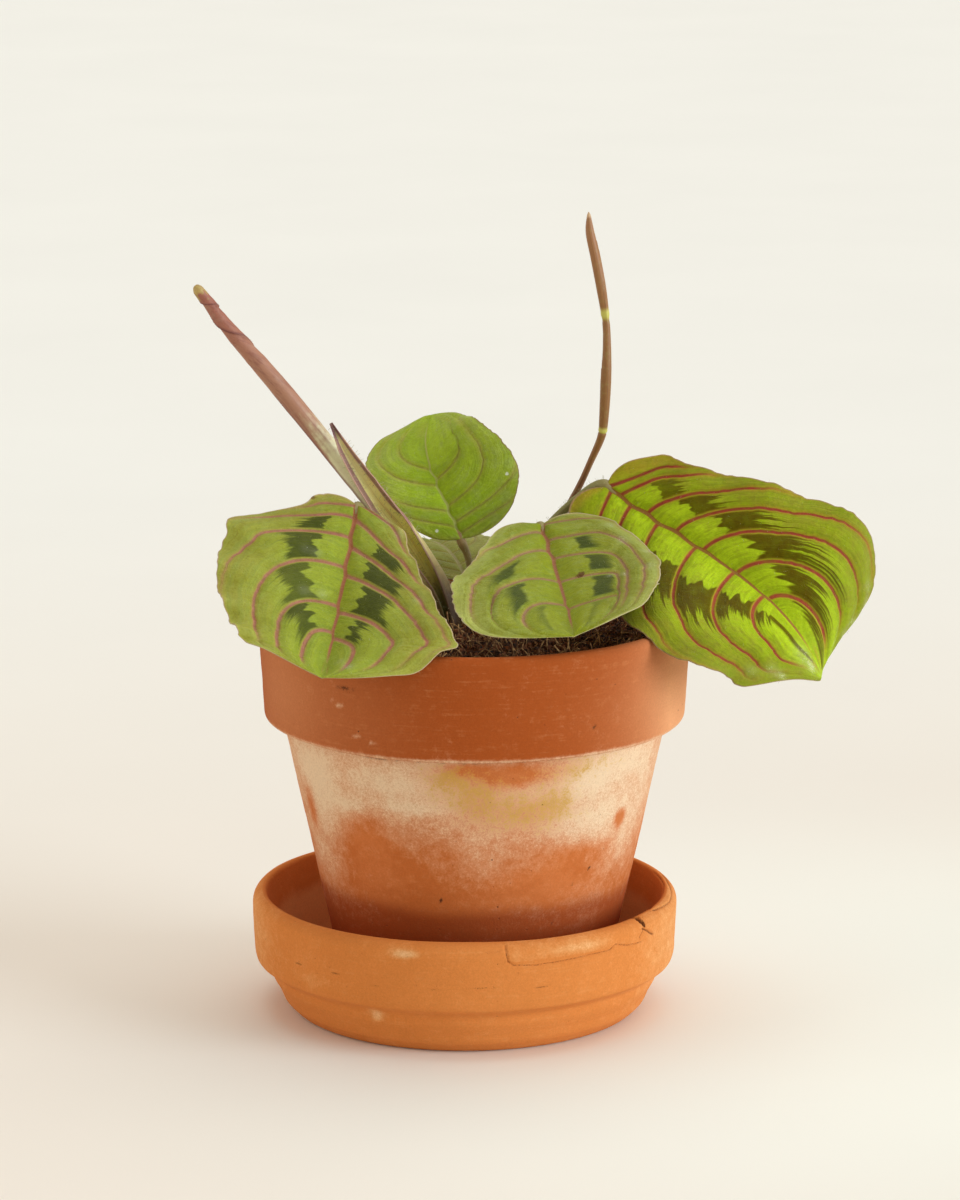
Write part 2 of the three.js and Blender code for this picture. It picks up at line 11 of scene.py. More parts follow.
import bpy
import numpy as np
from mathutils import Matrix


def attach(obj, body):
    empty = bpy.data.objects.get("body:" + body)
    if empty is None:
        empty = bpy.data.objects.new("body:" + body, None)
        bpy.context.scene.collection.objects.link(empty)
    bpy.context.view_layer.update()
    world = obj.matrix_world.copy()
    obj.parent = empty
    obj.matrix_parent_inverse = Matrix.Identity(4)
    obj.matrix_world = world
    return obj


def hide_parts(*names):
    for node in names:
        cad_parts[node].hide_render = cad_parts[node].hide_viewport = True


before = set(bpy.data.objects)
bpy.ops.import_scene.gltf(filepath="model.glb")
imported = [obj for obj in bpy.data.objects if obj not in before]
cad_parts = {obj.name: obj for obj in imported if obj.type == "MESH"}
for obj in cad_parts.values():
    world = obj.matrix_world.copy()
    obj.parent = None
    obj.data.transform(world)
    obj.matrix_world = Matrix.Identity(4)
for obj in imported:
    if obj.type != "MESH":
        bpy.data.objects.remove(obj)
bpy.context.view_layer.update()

LOG = logging.getLogger("prayer_plant")
MM = 0.001
BACKWARDS = np.array([0.0, 1.0, 0.0])

Array = np.ndarray
Point = tuple[float, float, float]
Colour = tuple[float, float, float, float]


def paint(code: str) -> Colour:
    """Turn a screen colour into the linear colour that a shader takes.

    Args:
        code: Six hexadecimal digits after a hash sign.

    Returns:
        Red, green, blue and an alpha of one.
    """
    parts = [int(code[i : i + 2], 16) / 255 for i in (1, 3, 5)]
    linear = [c / 12.92 if c <= 0.04045 else ((c + 0.055) / 1.055) ** 2.4 for c in parts]
    return (linear[0], linear[1], linear[2], 1.0)


def unit(vectors: Array) -> Array:
    """Scale vectors to length one."""
    return vectors / np.maximum(np.linalg.norm(vectors, axis=-1, keepdims=True), 1e-12)


def fade(start: float, end: float, value: Array) -> Array:
    """Rise smoothly from nought at start to one at end."""
    x = np.clip((value - start) / (end - start), 0.0, 1.0)
    return x * x * (3.0 - 2.0 * x)


def hump(distance: Array, width: float) -> Array:
    """Give one at no distance, falling away smoothly over a width."""
    return np.exp(-((distance / width) ** 2))


def station(values: tuple[float, ...], u: Array) -> Array:
    """Read a smooth curve through evenly spaced values, at places from 0 to 1."""
    knots = np.asarray(values, float)
    last = len(knots) - 1
    x = np.clip(u * last, 0, last)
    i = np.minimum(np.floor(x).astype(int), last - 1)
    f = x - i
    b, c = knots[i], knots[i + 1]
    a = np.where(i > 0, knots[np.maximum(i - 1, 0)], 2 * b - c)
    d = np.where(i + 2 <= last, knots[np.minimum(i + 2, last)], 2 * c - b)
    bend = 2 * a - 5 * b + 4 * c - d
    twist = 3 * b - a - 3 * c + d
    return 0.5 * (2 * b + (c - a) * f + bend * f * f + twist * f**3)


def lattice_noise(points: Array, seed: float) -> Array:
    """Give smooth noise from -1 to 1 on a unit lattice.

    Args:
        points: Places, one in each row.
        seed: A number that changes the whole pattern.

    Returns:
        One value for each place.
    """
    base = np.floor(points)
    part = points - base
    part = part * part * (3 - 2 * part)
    total = np.zeros(points.shape[:-1])
    for corner in product((0, 1), repeat=3):
        mixed = (base + corner) @ np.array([127.1, 311.7, 74.7]) + seed * 17.3
        value = np.sin(mixed) * 43758.5453
        value = value - np.floor(value)
        weight = np.prod(np.where(np.array(corner) == 1, part, 1 - part), axis=-1)
        total += weight * value
    return 2 * total - 1


def smooth_line(line: tuple[Point, ...], count: int) -> Array:
    """Draw a smooth curve through points.

    Args:
        line: The points that it passes, in mm.
        count: How many places to return, evenly spaced between the first and last point.

    Returns:
        The places, one in each row.
    """
    points = np.array(line, float)
    first = 2 * points[0] - points[1]
    last = 2 * points[-1] - points[-2]
    chain = np.vstack([first, points, last])
    u = np.linspace(0, len(points) - 1, count)
    i = np.minimum(u.astype(int), len(points) - 2)
    w = (u - i)[:, None]
    p0, p1, p2, p3 = chain[i], chain[i + 1], chain[i + 2], chain[i + 3]
    d0, d1, d2 = (
        np.sqrt(np.linalg.norm(q - p, axis=1, keepdims=True)) for p, q in ((p0, p1), (p1, p2), (p2, p3))
    )
    leave = ((p1 - p0) / d0 - (p2 - p0) / (d0 + d1) + (p2 - p1) / d1) * d1
    reach = ((p2 - p1) / d1 - (p3 - p1) / (d1 + d2) + (p3 - p2) / d2) * d1
    square = -3 * p1 + 3 * p2 - 2 * leave - reach
    cube = 2 * p1 - 2 * p2 + leave + reach
    return p1 + leave * w + square * w * w + cube * w**3


def put(name: str, data: bpy.types.ID) -> bpy.types.Object:
    """Put a mesh, a light or a camera into the scene as an object."""
    thing = bpy.data.objects.new(name, data)
    bpy.context.scene.collection.objects.link(thing)
    return thing


@dataclass
class Skin:
    """A closed mesh before it becomes an object: points in mm, faces and painted values.

    Faces that come with corner values already look outwards. Others are turned round where they don't.
    """

    points: Array
    faces: list[Array]
    point_values: dict[str, Array] = field(default_factory=dict)
    corner_values: dict[str, Array] = field(default_factory=dict)

    def volume(self) -> float:
        """Work out the enclosed volume, negative where the faces point inwards."""
        total = 0.0
        for group in self.faces:
            for k in range(1, group.shape[1] - 1):
                a, b, c = (self.points[group[:, m]] for m in (0, k, k + 1))
                total += float(np.sum(np.cross(a, b) * c)) / 6
        return total

    def to_object(self, name: str, material: bpy.types.Material) -> bpy.types.Object:
        """Make the Blender object, in metres, with its values as attributes.

        Args:
            name: The piece's name.
            material: The finish that all its faces take.

        Returns:
            The object, linked to the scene.
        """
        if self.volume() < 0:
            self.faces = [group[:, ::-1] for group in self.faces]
        mesh = bpy.data.meshes.new(name)
        loops = np.concatenate([group.ravel() for group in self.faces])
        sizes = np.concatenate([np.full(len(group), group.shape[1]) for group in self.faces])
        starts = np.concatenate([[0], np.cumsum(sizes)[:-1]])
        mesh.vertices.add(len(self.points))
        mesh.vertices.foreach_set("co", (self.points * MM).astype(np.float32).ravel())
        mesh.loops.add(len(loops))
        mesh.loops.foreach_set("vertex_index", loops.astype(np.int32))
        mesh.polygons.add(len(sizes))
        mesh.polygons.foreach_set("loop_start", starts.astype(np.int32))
        mesh.update(calc_edges=True)
        for domain, painted in (("POINT", self.point_values), ("CORNER", self.corner_values)):
            for key, values in painted.items():
                layer = mesh.attributes.new(key, "FLOAT_VECTOR", domain)
                layer.data.foreach_set("vector", values.astype(np.float32).ravel())
        mesh.shade_smooth()
        mesh.materials.append(material)
        return put(name, mesh)


def ring_faces(rows: int, around: int) -> Array:
    """Index the quads between rings that each close on themselves."""
    i, j = np.meshgrid(np.arange(rows - 1), np.arange(around), indexing="ij")
    n = (j + 1) % around
    quads = np.stack([i * around + j, i * around + n, (i + 1) * around + n, (i + 1) * around + j], -1)
    return quads.reshape(-1, 4)


def with_poles(values: Array) -> Array:
    """Carry values on rings over to the poles that close them."""
    flat = values.reshape(-1, values.shape[-1])
    return np.vstack([flat, values[0].mean(0), values[-1].mean(0)])


def capped_rings(rings: Array, painted: dict[str, Array] | None = None) -> Skin:
    """Close a stack of rings with a pole point at each end.

    Args:
        rings: Points in mm, by ring and then by place round the ring.
        painted: Three values for each of those points, by name.

    Returns:
        The closed skin, whose last two points are the poles.
    """
    rows, around = rings.shape[:2]
    low = rows * around
    top = low - around
    j = np.arange(around)
    n = (j + 1) % around
    foot_fan = np.stack([np.full(around, low), n, j], -1)
    head_fan = np.stack([np.full(around, low + 1), top + j, top + n], -1)
    values = {key: with_poles(v) for key, v in (painted or {}).items()}
    return Skin(with_poles(rings), [ring_faces(rows, around), foot_fan, head_fan], values)


def sweep(centres: Array, angle: Array, reach: Array) -> Array:
    """Set rings round a line of centres.

    Args:
        centres: The line in mm.
        angle: The bearing of each place on a ring in radians, from the left towards the back.
        reach: How far each place stands from its centre.

    Returns:
        Points in mm, by ring and then by place round the ring.
    """
    along = unit(np.gradient(centres, axis=0))
    left = unit(np.cross(along, BACKWARDS))
    back = np.cross(left, along)
    ring = left[:, None] * np.cos(angle)[..., None] + back[:, None] * np.sin(angle)[..., None]
    return centres[:, None] + ring * reach[..., None]


def full_turn(count: int) -> Array:
    """Space bearings evenly round a whole turn, in radians."""
    return np.linspace(0, 2 * math.pi, count, endpoint=False)


def hand_over(piece: bpy.types.Object, node: str = "") -> bpy.types.Object:
    """Fix a finished piece to the body and hide the solid whose place it takes.

    Args:
        piece: The piece.
        node: The solid that it stands for, or nothing for a piece of its own.

    Returns:
        The piece.
    """
    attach(piece, "root")
    if node:
        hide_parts(node)
    return piece


def make_node(
    tree: bpy.types.NodeTree, kind: str, sockets: dict | None = None, **settings: str
) -> bpy.types.Node:
    """Make a node.

    Args:
        tree: The tree that it goes into.
        kind: Blender's name of the node type.
        sockets: Values or links by the socket's name or number.
        settings: The node's own properties, set before its sockets.

    Returns:
        The node.
    """
    made = tree.nodes.new(kind)
    for key, value in settings.items():
        setattr(made, key, value)
    for key, value in (sockets or {}).items():
        feed(made.inputs[key], value)
    return made


def feed(socket: bpy.types.NodeSocket, value: "Number | Tint | Point") -> None:
    """Link or set one socket."""
    source = value.socket if isinstance(value, Expr) else value
    if isinstance(source, bpy.types.NodeSocket):
        socket.id_data.links.new(source, socket)
    else:
        socket.default_value = paint(source) if isinstance(source, str) else source


class Expr:
    """A number socket of a material, used as a number in Python expressions."""

    def __init__(self, recipe: "Recipe", socket: bpy.types.NodeSocket) -> None:
        """Wrap a socket of a recipe's tree."""
        self.recipe = recipe
        self.socket = socket

    def __add__(self, other: "Number") -> "Expr":
        """Add."""
        return self.recipe.maths("ADD", self, other)

    def __radd__(self, other: "Number") -> "Expr":
        """Add, reflected."""
        return self.recipe.maths("ADD", other, self)

    def __sub__(self, other: "Number") -> "Expr":
        """Subtract."""
        return self.recipe.maths("SUBTRACT", self, other)

    def __rsub__(self, other: "Number") -> "Expr":
        """Subtract, reflected."""
        return self.recipe.maths("SUBTRACT", other, self)

    def __mul__(self, other: "Number") -> "Expr":
        """Multiply."""
        return self.recipe.maths("MULTIPLY", self, other)

    def __pow__(self, other: "Number") -> "Expr":
        """Raise to a power."""
        return self.recipe.maths("POWER", self, other)


Number = Expr | float | int
Tint = Colour | str | bpy.types.NodeSocket


class Recipe:
    """One procedural finish: a material tree built by expressions."""

    def __init__(self, name: str) -> None:
        """Start an empty material with its shader and output."""
        self.material = bpy.data.materials.new(name)
        self.material.use_nodes = True
        self.tree = self.material.node_tree
        self.tree.nodes.clear()
        self.shader = self.node("ShaderNodeBsdfPrincipled")
        self.node("ShaderNodeOutputMaterial", {"Surface": self.shader.outputs["BSDF"]})

    def node(self, kind: str, sockets: dict | None = None, **settings: str) -> bpy.types.Node:
        """Make a node in this recipe's tree."""
        return make_node(self.tree, kind, sockets, **settings)

    def maths(self, operation: str, *operands: Number) -> Expr:
        """Make one Math node of an operation on numbers."""
        made = self.node("ShaderNodeMath", dict(enumerate(operands)), operation=operation)
        return Expr(self, made.outputs[0])

    def clamped(self, value: Expr) -> Expr:
        """Keep a number between nought and one."""
        return self.maths("MINIMUM", self.maths("MAXIMUM", value, 0.0), 1.0)

    def place(self) -> bpy.types.NodeSocket:
        """Give the object's own coordinates in mm."""
        coordinates = self.node("ShaderNodeTexCoord").outputs["Object"]
        sockets = {0: coordinates, "Scale": 1 / MM}
        return self.node("ShaderNodeVectorMath", sockets, operation="SCALE").outputs[0]

    def attribute(self, name: str) -> bpy.types.NodeSocket:
        """Give a painted value of the mesh as a vector."""
        return self.node("ShaderNodeAttribute", attribute_name=name).outputs["Vector"]

    def parts(self, vector: bpy.types.NodeSocket) -> tuple[Expr, Expr, Expr]:
        """Split a vector into its three numbers."""
        x, y, z = self.node("ShaderNodeSeparateXYZ", {0: vector}).outputs
        return Expr(self, x), Expr(self, y), Expr(self, z)

    def vector(self, x: Number, y: Number, z: Number) -> bpy.types.NodeSocket:
        """Join three numbers into a vector."""
        return self.node("ShaderNodeCombineXYZ", {0: x, 1: y, 2: z}).outputs[0]

    def noise(
        self,
        where: bpy.types.NodeSocket,
        scale: float,
        detail: float = 2.0,
        rough: float = 0.5,
        warp: float = 0.0,
    ) -> Expr:
        """Give cloudy noise from nought to one.

        Args:
            where: The coordinates.
            scale: Waves for each unit of the coordinates.
            detail: How many finer layers lie on the first.
            rough: How strong the finer layers are.
            warp: How far the pattern is pulled about.

        Returns:
            The noise, mostly between 0.3 and 0.7.
        """
        sockets = {"Vector": where, "Scale": scale, "Detail": detail, "Roughness": rough, "Distortion": warp}
        return Expr(self, self.node("ShaderNodeTexNoise", sockets).outputs[0])

    def cells(self, where: bpy.types.NodeSocket, scale: float) -> Expr:
        """Give the distance to the nearest of many scattered points, in cell widths."""
        made = self.node("ShaderNodeTexVoronoi", {"Vector": where, "Scale": scale})
        return Expr(self, made.outputs["Distance"])

    def rise(self, value: Number, start: Number, end: Number) -> Expr:
        """Rise smoothly from nought to one between two values."""
        sockets = {"Value": value, "From Min": start, "From Max": end}
        made = self.node("ShaderNodeMapRange", sockets, interpolation_type="SMOOTHSTEP")
        return Expr(self, made.outputs[0])

    def mix(self, amount: Number, first: Tint, second: Tint) -> bpy.types.NodeSocket:
        """Mix two colours: nought gives the first and one the second."""
        return self.node("ShaderNodeMix", {0: amount, 6: first, 7: second}, data_type="RGBA").outputs[2]

    def shaded(self, colour: Tint, amount: Number) -> bpy.types.NodeSocket:
        """Multiply a colour by a number."""
        grey = self.vector(amount, amount, amount)
        return self.node("ShaderNodeVectorMath", {0: colour, 1: grey}, operation="MULTIPLY").outputs[0]

    def set_gloss(self, level: float) -> None:
        """Set how much light the surface throws back head on."""
        self.shader.inputs["Specular IOR Level"].default_value = level

    def let_light_in(self, flesh: Point, weight: float) -> None:
        """Let light into the body of a thin piece.

        Args:
            flesh: How many mm red, green and blue light travel in it.
            weight: How much of the surface's light goes in.
        """
        self.shader.inputs["Subsurface Weight"].default_value = weight
        self.shader.inputs["Subsurface Radius"].default_value = flesh
        self.shader.inputs["Subsurface Scale"].default_value = MM

    def finish(
        self, colour: Tint, roughness: Number, height: Expr | None = None, strength: float = 1.0
    ) -> bpy.types.Material:
        """Feed the shader and give back the material.

        Args:
            colour: The surface's own colour.
            roughness: From nought, polished, to one, matt.
            height: Relief in mm for the bump.
            strength: How strongly the bump shows.

        Returns:
            The finished material.
        """
        feed(self.shader.inputs["Base Color"], colour)
        feed(self.shader.inputs["Roughness"], roughness)
        if height is not None:
            sockets = {"Height": height, "Distance": MM, "Strength": strength}
            feed(self.shader.inputs["Normal"], self.node("ShaderNodeBump", sockets).outputs[0])
        return self.material


@dataclass(frozen=True)
class Patch:
    """A soft-edged patch on a turned wall, by bearing in degrees and height in mm."""

    bearing: float
    height: float
    wide: float
    tall: float
    strength: float = 1.0

    def spread(self, bearings: Array, heights: Array, radii: Array) -> Array:
        """Give the patch's strength at each place of the wall."""
        turn = (bearings - self.bearing + 180) % 360 - 180
        across = np.radians(turn) * radii / self.wide
        up = (heights - self.height) / self.tall
        return self.strength * np.exp(-(across**2 + up**2))

    @classmethod
    def group(cls, *rows: tuple[float, ...]) -> tuple["Patch", ...]:
        """Make patches from rows of their sizes."""
        return tuple(cls(*row) for row in rows)


@dataclass(frozen=True)
class Crack:
    """A crack in a turned wall: its line by bearing and height, and how far it reaches sideways."""

    line: tuple[tuple[float, float], ...]
    width: float
    depth: float
    dark: float = 0.58

    def closeness(self, bearings: Array, heights: Array, radii: Array) -> Array:
        """Give one on the crack's line and nearly nought beyond its width."""
        nearest = np.full(np.broadcast(bearings, heights).shape, np.inf)
        for (b0, z0), (b1, z1) in zip(self.line, self.line[1:]):
            x = np.radians(bearings - b0) * radii
            run = np.radians(b1 - b0) * radii
            y, climb = heights - z0, z1 - z0
            share = np.clip((x * run + y * climb) / (run**2 + climb**2), 0, 1)
            nearest = np.minimum(nearest, np.hypot(x - share * run, y - share * climb))
        return hump(nearest, self.width)


class Turning:
    """A turned clay wall: a section in mm swept round an upright axis."""

    CORNER_REACH = 0.9
    CORNER_SHARE = 0.4
    CORNER_STEPS = (0.0, 0.33, 0.67, 1.0)
    POLE_RADIUS = 3.0

    def __init__(
        self,
        section: tuple[tuple[float, float], ...],
        bearings: Array,
        step: float,
        axis: float = 0.0,
        open_middle: bool = False,
        fine: tuple[float, float, float] = (0.0, 0.0, 1.0),
    ) -> None:
        """Round the section's corners and divide it finely.

        Args:
            section: Radius and height along the outline, up the outside and down the inside.
            bearings: Degrees round the axis, one for each column of the wall.
            step: The longest stretch between rings.
            axis: How far right of the middle the axis stands.
            open_middle: Whether the section closes on itself round a hole.
            fine: A band of the climbing wall by lowest height, greatest height and its own step.
        """
        self.bearings = bearings
        self.axis = axis
        self.open_middle = open_middle
        outline = self.divided(self.rounded(np.array(section, float)), step, fine)
        if open_middle:
            tangent = unit(np.roll(outline, -1, 0) - np.roll(outline, 1, 0))
        else:
            outline = outline[outline[:, 0] > self.POLE_RADIUS]
            tangent = unit(np.gradient(outline, axis=0))
        self.outline = outline
        self.radii, self.heights = outline[:, :1], outline[:, 1:]
        self.normal = np.stack([tangent[:, 1], -tangent[:, 0]], -1)
        self.outward = self.normal[:, :1]

    def rounded(self, corners: Array) -> list[Array]:
        """Round each corner of the section with a short curve."""
        rows = []
        for k, corner in enumerate(corners):
            if not self.open_middle and k in (0, len(corners) - 1):
                rows.append(corner)
                continue
            ends = []
            for other in (corners[k - 1], corners[(k + 1) % len(corners)]):
                side = other - corner
                ends.append(corner + side * min(self.CORNER_SHARE, self.CORNER_REACH / np.linalg.norm(side)))
            for t in self.CORNER_STEPS:
                rows.append((1 - t) ** 2 * ends[0] + 2 * t * (1 - t) * corner + t * t * ends[1])
        return rows + rows[:1] if self.open_middle else rows

    def divided(self, rows: list[Array], step: float, fine: tuple[float, float, float]) -> Array:
        """Divide the outline into stretches no longer than the step of their band."""
        low, high, small_step = fine
        chain = [rows[0]]
        for a, b in zip(rows, rows[1:]):
            in_band = b[1] > a[1] and low <= (a[1] + b[1]) / 2 <= high
            count = max(1, math.ceil(np.linalg.norm(b - a) / (small_step if in_band else step)))
            chain += [a + (b - a) * n / count for n in range(1, count + 1)]
        return np.array(chain[:-1] if self.open_middle else chain)

    def wall(self, relief: Array | None = None) -> Array:
        """Place every point of the wall.

        Args:
            relief: How far each point stands out of the plain section, by ring and column.

        Returns:
            Points in mm by ring and column.
        """
        if relief is None:
            relief = np.zeros((len(self.outline), len(self.bearings)))
        flat = self.outline[:, None, :] + self.normal[:, None, :] * relief[..., None]
        angle = np.radians(self.bearings)
        x = self.axis + flat[..., 0] * np.cos(angle)
        y = flat[..., 0] * np.sin(angle)
        return np.stack([x, y, flat[..., 1]], -1)

    def uneven(self, depth: float, size: float | Point, seed: int) -> Array:
        """Give what the thrower's hand left uneven: smooth noise by depth and size in mm."""
        return depth * lattice_noise(self.wall() / np.array(size), seed)

    def spread(self, patches: tuple[Patch, ...]) -> Array:
        """Add up the strengths of patches at each place of the wall."""
        return sum(patch.spread(self.bearings, self.heights, self.radii) for patch in patches)

    def near(self, crack: Crack) -> Array:
        """Tell how close each place of the wall is to a crack."""
        return crack.closeness(self.bearings, self.heights, self.radii)

    def skin(self, points: Array, values: dict[str, Array]) -> Skin:
        """Close the wall and carry its painted values."""
        if not self.open_middle:
            return capped_rings(points, values)
        rows, around = points.shape[:2]
        quads = ring_faces(rows + 1, around) % (rows * around)
        flat = {key: v.reshape(-1, 3) for key, v in values.items()}
        return Skin(points.reshape(-1, 3), [quads], flat)


@dataclass(frozen=True)
class ClayFinish:
    """Fired clay with what years of watering leave on it, and painted light."""

    name: str
    body: str
    deep: str
    pale: str
    # Water stain on the pot; on the saucer a paler colour, painted light on its inner wall.
    damp_and_light: str
    collar: str = "#9f4917"
    # Colour of the painted light on the pot's collar.
    painted_light: str = "#e8a472"
    haze: str = "#d9a27a"
    lime: str = "#eed8b4"
    ochre: str = "#c6963f"
    bare: str = "#c0703e"
    grime: str = "#3a2415"
    grain: float = 0.05

    def material(self) -> bpy.types.Material:
        """Build the clay: colour clouds, painted light on the pot's collar, limescale, ochre stain, a darker
        water-stained foot, grime, pits and grain; on the saucer the limescale also carries painted light on
        its sides and the water stain painted light on its inner wall.
        """
        r = Recipe(self.name)
        place = r.place()
        lime, ochre, damp_and_light = r.parts(r.attribute("stain"))
        bare, grime, turned = r.parts(r.attribute("marks"))
        cloud = r.noise(place, 0.05, 4, 0.6, 0.4)
        mottle = r.noise(place, 0.35, 4, 0.65)
        speck = r.noise(place, 1.6, 3, 0.7)
        grain = r.noise(place, 4.5, 2, 0.6)
        x, y, z = r.parts(place)
        streak = r.noise(r.vector(x * 0.05, y * 0.05, z * 1.4), 1.0, 3, 0.6)
        clay = r.mix(r.rise(cloud + (mottle - 0.5) * 0.5, 0.3, 0.7), self.deep, self.body)
        # Painted light on the pot's collar: paler where the painted-light patches lie.
        clay = r.mix(turned * 0.9, clay, r.mix(r.clamped(bare), self.collar, self.painted_light))
        clay = r.mix(r.rise(mottle + (streak - 0.5) * 0.9, 0.52, 0.85) * 0.22, clay, self.pale)
        clay = r.mix(bare * (1 - turned) * r.rise(mottle, 0.2, 0.5), clay, self.bare)
        # Darker water stain on the pot; painted light on the saucer's inner wall.
        wet_and_lit = r.rise(damp_and_light + (cloud - 0.5) * 0.5 + (mottle - 0.5) * 0.2, 0.25, 0.8)
        clay = r.mix(wet_and_lit * 0.85, clay, self.damp_and_light)
        # On the saucer the limescale also carries painted light on its sides.
        salt = lime + (cloud - 0.5) * 0.45 + (mottle - 0.5) * 0.55
        veil = r.rise(salt + (speck - 0.5) * 0.35, 0.05, 0.6)
        crust = r.rise(salt + (speck - 0.5) * 0.7 + (grain - 0.5) * 0.6, 0.36, 0.95)
        clay = r.mix(veil * 0.7, clay, self.haze)
        clay = r.mix(crust * 0.75, clay, self.lime)
        strewn = (mottle - 0.5) * 2 + (speck - 0.5) * 2.2 + (grain - 0.5) * 1.4
        rust = r.rise(ochre * 0.7 + strewn, 0.28, 1.1)
        clay = r.mix(rust * r.rise(ochre, 0.05, 0.35) * 0.85, clay, self.ochre)
        pit = 1 - r.rise(r.cells(place, 0.22), 0.03, 0.075)
        grit = r.rise(grime + (grain - 0.5) * 1.4 + (speck - 0.5) * 1.2, 0.3, 0.6) * r.rise(grime, 0.03, 0.2)
        soot = r.clamped(pit * r.rise(mottle, 0.5, 0.62) * 0.8 + grit * (grime * 0.6 + 0.35))
        clay = r.mix(soot, clay, self.grime)
        clay = r.shaded(clay, (speck - 0.5) * 0.35 + (grain - 0.5) * 0.2 + 1.0)
        height = (grain - 0.5) * self.grain + (speck - 0.5) * self.grain * 1.5
        height = height + (streak - 0.5) * 0.08 * turned
        height = height + crust * (grain - 0.4) * 0.12 - pit * 0.15
        r.set_gloss(0.15)
        return r.finish(clay, 0.93 - wet_and_lit * 0.12 - (speck - 0.5) * 0.1, height)


